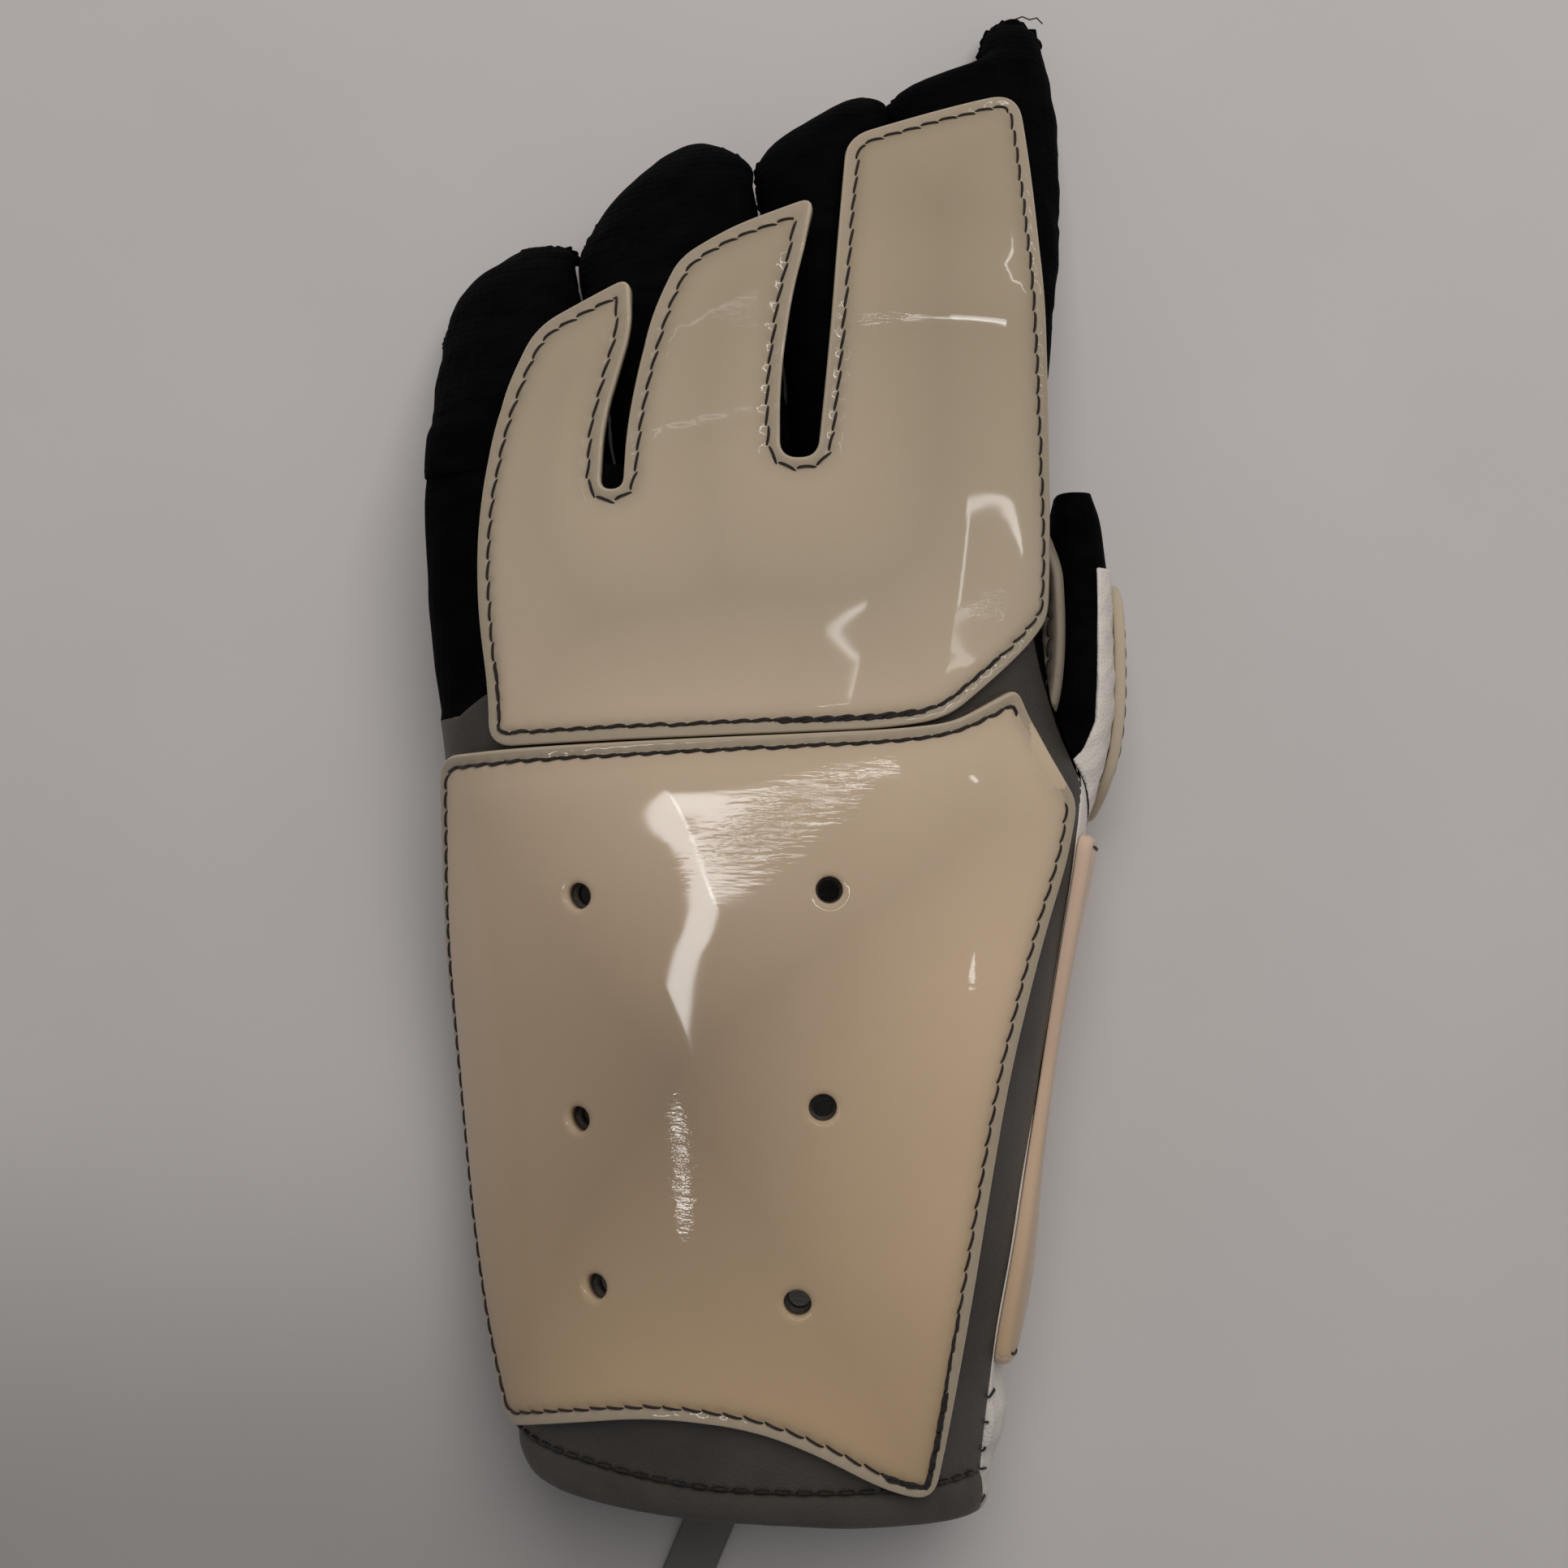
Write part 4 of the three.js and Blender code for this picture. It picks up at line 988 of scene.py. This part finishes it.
def addTape():
    ys = np.linspace(tapeLook["from"], tapeLook["to"], 43)
    z = rowAt(tapeLook["profile"], ys)["z"]
    x = tapeLook["x"] + tapeLook["lean"] * (tapeLook["cuffY"] - ys)
    over = np.linspace(-0.5, 0.5, 13) * tapeLook["wide"]
    curl = tapeLook["curl"] * np.sin(over * 0.5)
    grid = np.stack(np.broadcast_arrays(x[:, None] + over, ys[:, None], z[:, None] + curl), -1)
    points, faces = wallOf(grid + (0, 0, tapeLook["thick"]), grid)
    piece = addPiece("sizeTape", offFloor(points), faces, shadedTapeWeave, ("size_tape",), "white_tape")


addTape()
print("gauntlet ready")

# fingers
fingerLook = {
    "tipSoft": 2.2, "crease": 0.45, "cloth": 1.8, "round": 2.2, "lowRound": 2.6,
    "joints": (78.0, 99.0, 117.0), "jointDepth": 0.35,
    "little": {
        "lobe": 0, "top": 48.6, "base": 22, "tipRun": 17, "tipKeeps": 0.2, "hollowTo": 110, "seed": 21,
        "rows": tableOf(
            "y left right",
            (64, -75.0, -35.0), (78, -74.9, -37.6), (92, -74.8, -40.9), (100, -74.4, -42.8),
            (106, -73.2, -44.4),
            (111, -71.0, -45.6), (114, -68.6, -46.2), (116.5, -64.5, -46.4),
            (118.6, -61.0, -48.0), (120.3, -58.2, -54.0))},
    "ring": {
        "lobe": 1, "top": 55.4, "base": 22, "tipRun": 18, "tipKeeps": 0.2, "hollowTo": 132, "seed": 22,
        "rows": tableOf(
            "y left right",
            (64, -34.3, 2.2), (80, -37.4, 0.2), (98, -41.4, -2.4), (112, -44.8, -4.6),
            (115, -45.0, -5.0),
            (120, -43.5, -5.6), (125, -41.1, -6.2), (130, -37.6, -6.8), (134, -34.1, -7.2),
            (138, -29.8, -10.4),
            (141, -25.4, -14.4), (143.3, -21.0, -18.0))},
    "middle": {
        "lobe": 2, "top": 55.4, "base": 22, "tipRun": 20, "tipKeeps": 0.2, "hollowTo": 142, "seed": 23,
        "rows": tableOf(
            "y left right",
            (64, 2.9, 27.4), (80, 0.9, 26.6), (98, -1.7, 25.6), (118, -4.3, 24.2), (131, -5.9, 23.0),
            (134, -5.0, 22.7), (137, -2.4, 22.5), (140, 1.2, 22.4), (143, 5.0, 22.3), (146, 9.4, 22.2),
            (148, 11.9, 22.0), (150, 15.6, 18.6))},
    "index": {
        "lobe": 2, "top": 51, "base": 24, "tipRun": 34, "tipKeeps": 0.3, "hollowTo": 150, "seed": 24,
        "rows": tableOf(
            "y left right",
            (64, 28.1, 53.0), (80, 27.3, 54.2), (98, 26.3, 56.0), (111, 25.4, 57.8), (127, 24.2, 59.1),
            (143, 23.3, 59.3), (149, 23.2, 58.9), (152.5, 26.6, 58.8), (155.3, 32.1, 58.6),
            (157.6, 38.5, 58.2),
            (160.5, 43.6, 57.6), (163, 44.3, 57.2), (167, 45.2, 56.3), (169, 46.2, 54.8),
            (171, 49.1, 53.0))},
}


def ringsOf(row, ys, turns):
    x, z = roundedSection(row, turns)
    return np.stack([x, np.broadcast_to(ys[:, None], x.shape), z], -1)


def fingerRings(finger, ys, inset, turns):
    row = rowAt(finger["rows"], ys)
    into = np.clip((ys - (finger["rows"]["y"][-1] - finger["tipRun"])) / finger["tipRun"], 0, 1)
    keeps = np.maximum(finger["tipKeeps"], np.sqrt(1 - into ** fingerLook["tipSoft"]))
    middle = (finger["top"] + finger["base"]) / 2
    half = (finger["top"] - finger["base"]) / 2 * keeps
    even = 0 * ys
    rings = ringsOf({
        "left": row["left"] + inset, "right": row["right"] - inset, "crest": (row["left"] + row["right"]) / 2,
        "top": middle + half - inset, "base": middle - half + inset, "leftSide": even + middle,
        "rightSide": even + middle, "leftRound": even + fingerLook["round"],
        "rightRound": even + fingerLook["round"], "lowRound": even + fingerLook["lowRound"],
    }, ys, turns)
    drop = lobeDrop(bodyForm["lobes"][finger["lobe"]], rings[..., 0], rings[..., 1])
    rings[..., 2] = np.maximum(rings[..., 2] - drop, inset + floorGap)
    return rings


def tubeOf(outer, inner):
    # a tube open at its first ring and closed at its last, with a hollow
    a, n = outer.shape[:2]
    b, k = len(inner), np.arange(n)
    mouth = np.stack([k, a * n + k, a * n + (k + 1) % n, (k + 1) % n], 1)
    faces = [gridFaces(a, n, closed=True), gridFaces(b, n, a * n, closed=True, flip=True), mouth,
             (k + (a - 1) * n)[None], (k[::-1] + (a + b - 1) * n)[None]]
    return np.concatenate([outer.reshape(-1, 3), inner.reshape(-1, 3)]), faces


def addFinger(name, node, finger):
    tip = finger["rows"]["y"][-1]
    turns = np.pi - circle(64)
    ys = np.concatenate([np.linspace(knuckleLine, tip - 12, 60), np.linspace(tip - 12, tip, 26)[1:]])
    outer = fingerRings(finger, ys, -0.2, turns)
    inner = fingerRings(finger, np.linspace(knuckleLine, finger["hollowTo"], 40), fingerLook["cloth"], turns)
    centre = outer.mean(1, keepdims=True)
    out = unit((outer - centre) * (1, 0, 1))
    # soft folds, and short creases round the joints
    uneven = np.minimum(fingerLook["crease"] * ripple(outer, finger["seed"], 20), 0.3)
    for k, place in enumerate(fingerLook["joints"]):
        tilt = 0.12 * (-1) ** k * (outer[..., 0] - centre[..., 0])
        uneven = uneven - fingerLook["jointDepth"] * np.exp(-((outer[..., 1] - place - tilt) / 1.3) ** 2)
    outer = offFloor(outer + uneven[..., None] * out)
    piece = addPiece(name, *tubeOf(outer, inner), blackKnit, (node,), "black_cloth")
    return outer


def sweptTube(path, radius, sides=8):
    # a tube along a path of points, with a radius at each
    way = unit(np.gradient(path, axis=0))
    side = unit(np.cross(way, (0, 0, 1.0)))
    points = path[:, None] + radius[:, None, None] * ringAround(side, np.cross(side, way), sides)
    return points, loftFaces(len(path), sides, flip=True)


tipSeam = {"points": 90, "radius": 0.55, "swell": 0.25, "waver": 0.12, "fray": 0.35, "past": 8, "ends": 6}


def addTipSeam(name, finger, outer):
    # the seam over a fingertip: a low uneven ridge from its left side to its frayed end at the right
    tip = finger["rows"]["y"][-1]
    left, right = outer[:, 0], outer[:, 32]
    near = left[left[:, 1] > tip - (finger["tipRun"] + tipSeam["past"])]
    line = np.concatenate([near, right[right[:, 1] > tip - tipSeam["ends"]][::-1]])
    run = runAlong(line)
    count = tipSeam["points"]
    path = placesAt(np.linspace(0, run[-1], count), run, line)
    rng = np.random.default_rng(finger["seed"])
    fray = np.linspace(0, 1, count) ** 2
    waver = rng.normal(0, tipSeam["waver"], path.shape)
    path += waver + rng.normal(0, tipSeam["fray"], path.shape) * fray[:, None]
    radius = tipSeam["radius"] + tipSeam["swell"] * fray + rng.uniform(-0.1, 0.25, count) * fray
    path[:, 2] = np.maximum(path[:, 2], radius + 0.05)
    addPiece(name, *sweptTube(path, radius), blackKnit)


for label in ("little", "ring", "middle", "index"):
    finger = fingerLook[label]
    ringPoints = addFinger(label + "Finger", "finger_" + label, finger)
    addTipSeam(label + "TipSeam", finger, ringPoints)
# one loose thread end at the tip of the index finger
threadEnd = np.array([(51.0, 169.0, 14.0), (52.6, 169.4, 14.6), (54.2, 168.6, 14.9), (55.8, 169.2, 14.4),
                      (57.2, 168.2, 13.6)])
addPiece("indexThreadEnd", *sweptTube(threadEnd, np.full(5, 0.16)), blackThread)
print("fingers ready")


# thumb
trimLook = {"from": -60, "to": 74, "rings": 68, "sides": 160, "lift": 0.3}


def swollenBody():
    # the hand's form, a little swollen, which takes away what the thumb pieces have inside it
    ys = np.linspace(trimLook["from"], trimLook["to"], trimLook["rings"])
    half = np.interp(ys, body["ys"], body["around"]) / 2
    across = np.linspace(-half, half, trimLook["sides"] + 1, axis=-1)[:, :-1]
    return lifted(body, across, ys[:, None], trimLook["lift"]), loftFaces(*across.shape)


def thumbRings(ys, inset, turns):
    row = thumbSection(ys)
    for name, way in (("left", 1), ("right", -1), ("top", -1), ("base", 1)):
        row[name] = row[name] + way * inset
    return ringsOf(row, ys, turns)


def addThumb():
    turns = np.pi - circle(72)
    outer = thumbRings(np.linspace(thumbForm["start"], thumbForm["end"], 80), 0.0, turns)
    centre = outer.mean(1, keepdims=True)
    uneven = thumbForm["folds"] * np.minimum(ripple(outer, 31, 22), 0.5)
    outer = outer + uneven[..., None] * unit((outer - centre) * (1, 0, 1))
    inner = thumbRings(np.linspace(thumbForm["start"], thumbForm["hollowTo"], 40), thumbForm["cloth"], turns)
    gusset = addPiece("thumbGusset", *tubeOf(outer, inner), blackKnit, ("thumb_gusset",), "black_cloth")
    # the leather side is the part of the tube beyond the seam line
    ys = np.linspace(thumbForm["start"] + 1, thumbForm["seamEnd"], 90)
    places = np.arange(*thumbForm["seamSearch"])
    low = []
    for y in ys:
        x = surfacePoint(thumb, places, y)[:, 0]
        low.append(places[np.argmax(x > min(np.interp(y, *thumbForm["seamX"]), x.max() - 0.6))])
    low = np.array(low)
    high = np.interp(ys, thumb["ys"], thumb["around"]) / 2 - low
    across = low[:, None] + (high - low)[:, None] * np.linspace(0, 1, 70)
    y = np.broadcast_to(ys[:, None], across.shape)
    base = surfacePoint(thumb, across, y)
    soft = np.clip(0.25 * ripple(base, 37, 16) + 0.15 * ripple(base, 38, 5), -0.3, 0.3)
    points, faces = wallOf(lifted(thumb, across, y, thumbForm["leatherLift"] + soft),
                           lifted(thumb, across, y, -thumbForm["leatherSink"]))
    leather = addPiece("thumbLeather", points, faces, whiteLeather, ("thumb_leather",), "white_leather")
    hidden = addPiece("thumbTrim", *swollenBody(), blackThread)
    for piece in (gusset, leather, thumbOuterSheet["piece"], thumbInnerSheet["piece"]):
        cutAway(piece, hidden)
    bpy.data.objects.remove(hidden)


addThumb()
print("thumb ready")

# table, light and camera
# the table's own tone, and how much a painted shadow darkens its near left corner
tableLook = {"high": (205, 200, 197), "low": (200, 195, 192), "size": 1.6, "shadowDepth": 0.36,
             # along each axis, where the painted shadow over the near left corner starts and where it is full
             "corner": {"X": (0.05, -0.08), "Y": (-0.05, -0.17)}}


def addTable():
    material, tree, shader, place = newFinish("paleTable")
    parts = put(tree, "SeparateXYZ", "X", {0: place}).node.outputs
    # painted shadow: the near left corner of the table is coloured darker, standing in for a cast shadow
    paintedShadow = combined(tree, "MULTIPLY", *(ranged(tree, parts[axis], *span, interpolation_type="SMOOTHSTEP")
                                         for axis, span in tableLook["corner"].items()))
    keep = combined(tree, "MULTIPLY_ADD", paintedShadow, -tableLook["shadowDepth"], 1.0)
    tone = speckle(tree, place, 9, 5, tableLook["low"], tableLook["high"])
    feed(tree, shader, {"Base Color": scaled(tree, tone, keep), "Roughness": 0.75})
    half = tableLook["size"] / 2
    mesh = bpy.data.meshes.new("tableTop")
    corners = [(-half, -half, 0), (half, -half, 0), (half, half, 0), (-half, half, 0)]
    mesh.from_pydata(corners, [], [(0, 1, 2, 3)])
    mesh.materials.append(material)
    tableTop = link(bpy.data.objects.new("tableTop", mesh))


addTable()

lightLook = {
    "room": (0.95, 0.96, 1.0), "roomStrength": 0.2,
    "softBox": {"at": (0.15, 0.55, 0.98), "size": 0.8, "power": 8.2, "colour": (1, 0.975, 0.955)},
    # narrow tubes that show only as reflections: both ends, width, radiance, where they aim, what they show in
    "tubes": {
        "tubeUpperLeft": ((-0.40, 0.40, 1.2), (-0.02, 0.375, 1.2), 0.012, 2.6, (0, 0.08, 0.05), "handSheet"),
        "tubeUpperRight": ((0.10, 0.415, 1.2), (1.0, 0.43, 1.2), 0.022, 8.0, (0.02, 0.09, 0.05), "handSheet"),
        "tubeUpperEnd": ((0.50, 0.435, 1.2), (1.05, 0.46, 1.2), 0.05, 7.0, (0.04, 0.09, 0.05), "handSheet"),
        "ringLow": ((0.79, 1.14, 0.35), (0.765, 1.07, 0.557), 0.03, 6.0, (0.05, 0.11, 0.05), "handSheet"),
        "ringMiddle": ((0.765, 1.07, 0.557), (0.88, 0.90, 0.65), 0.03, 6.0, (0.05, 0.11, 0.05), "handSheet"),
        "ringHigh": ((0.88, 0.90, 0.65), (1.13, 0.73, 0.43), 0.03, 6.0, (0.05, 0.11, 0.05), "handSheet"),
        "tubeNear": ((0.36, 0.425, 1.2), (0.02, 0.28, 1.2), 0.035, 10.0, (0, 0, 0.05), "forearmSheet"),
        "tubeBend": ((0.02, 0.275, 1.2), (-0.45, 0.10, 1.2), 0.035, 10.0, (0, 0, 0.05), "forearmSheet"),
        "tubeFar": ((-0.45, 0.10, 1.2), (-0.86, -0.20, 1.2), 0.06, 9.0, (0, -0.03, 0.05), "forearmSheet"),
        "tubeLow": ((-1.16, -0.43, 1.2), (-1.13, -0.49, 1.2), 0.13, 14.0, (0, -0.07, 0.05), "forearmSheet"),
        "windowTop": ((0.80, 0.27, 1.2), (2.2, 0.33, 1.2), 0.028, 7.0, (0.04, 0.05, 0.05), "handSheet"),
        "windowSide": ((0.77, 0.06, 1.2), (0.77, 0.26, 1.2), 0.022, 7.0, (0.04, 0.05, 0.05), "handSheet"),
        "windowFoot": ((0.80, 0.04, 1.2), (1.5, 0.02, 1.2), 0.02, 4.0, (0.04, 0.04, 0.05), "handSheet"),
        "lampHand": ((0.085, 0.10, 1.2), (0.20, 0.125, 1.2), 0.010, 8.0, (0.02, 0.02, 0.05), "handSheet"),
        "lampSide": ((0.86, 0.52, 1.2), (0.90, 0.46, 1.2), 0.05, 8.0, (0.03, 0, 0.05), "forearmSheet"),
        "lampLow": ((0.98, 0.06, 1.2), (1.02, 0.02, 1.2), 0.06, 8.0, (0.03, -0.03, 0.05), "forearmSheet"),
    },
}


def addLamp(name, matrix):
    lamp = link(bpy.data.objects.new(name, bpy.data.lights.new(name, "AREA")))
    lamp.matrix_world = matrix
    return lamp, lamp.data


def facing(at, target, along):
    # turns a lamp's -Z to the target with its X as near to the given direction as it goes
    back = (Vector(at) - Vector(target)).normalized()
    over = (Vector(along) - back * back.dot(Vector(along))).normalized()
    turn = Matrix((over, back.cross(over), back)).transposed().to_4x4()
    return Matrix.Translation(Vector(at)) @ turn


def addLights():
    world = bpy.data.worlds.new("room")
    world.use_nodes = True
    room = world.node_tree.nodes["Background"].inputs
    room["Color"].default_value = (*lightLook["room"], 1)
    room["Strength"].default_value = lightLook["roomStrength"]
    bpy.context.scene.world = world
    box = lightLook["softBox"]
    lamp, data = addLamp("softBox", facing(box["at"], (0, 0, 0), (1, 0, 0)))
    data.size, data.energy, data.color = box["size"], box["power"], box["colour"]
    lamp.visible_glossy = False
    for name, (start, end, width, radiance, target, shown) in lightLook["tubes"].items():
        start, end = Vector(start), Vector(end)
        lamp, data = addLamp(name, facing((start + end) / 2, target, end - start))
        data.shape = "RECTANGLE"
        data.size, data.size_y = (end - start).length, width
        data.energy = radiance * math.pi * data.size * width
        lamp.visible_diffuse = lamp.visible_camera = False
        group = bpy.data.collections.new(name + "Shows")
        group.objects.link(bpy.data.objects[shown])
        lamp.light_linking.receiver_collection = group


addLights()

cameraLook = {"height": 450.0, "focalPixels": 2430, "imagePixels": 1932, "sensor": 36.0}


def addCamera():
    data = bpy.data.cameras.new("camera")
    data.sensor_width = cameraLook["sensor"]
    data.lens = cameraLook["sensor"] * cameraLook["focalPixels"] / cameraLook["imagePixels"]
    camera = link(bpy.data.objects.new("camera", data))
    camera.location = (*frameShift[:2] * millimetre, cameraLook["height"] * millimetre)
    bpy.context.scene.camera = camera


addCamera()
bpy.context.scene.view_settings.view_transform = "Standard"
bpy.context.scene.view_settings.look = "None"
print("table, light and camera ready")
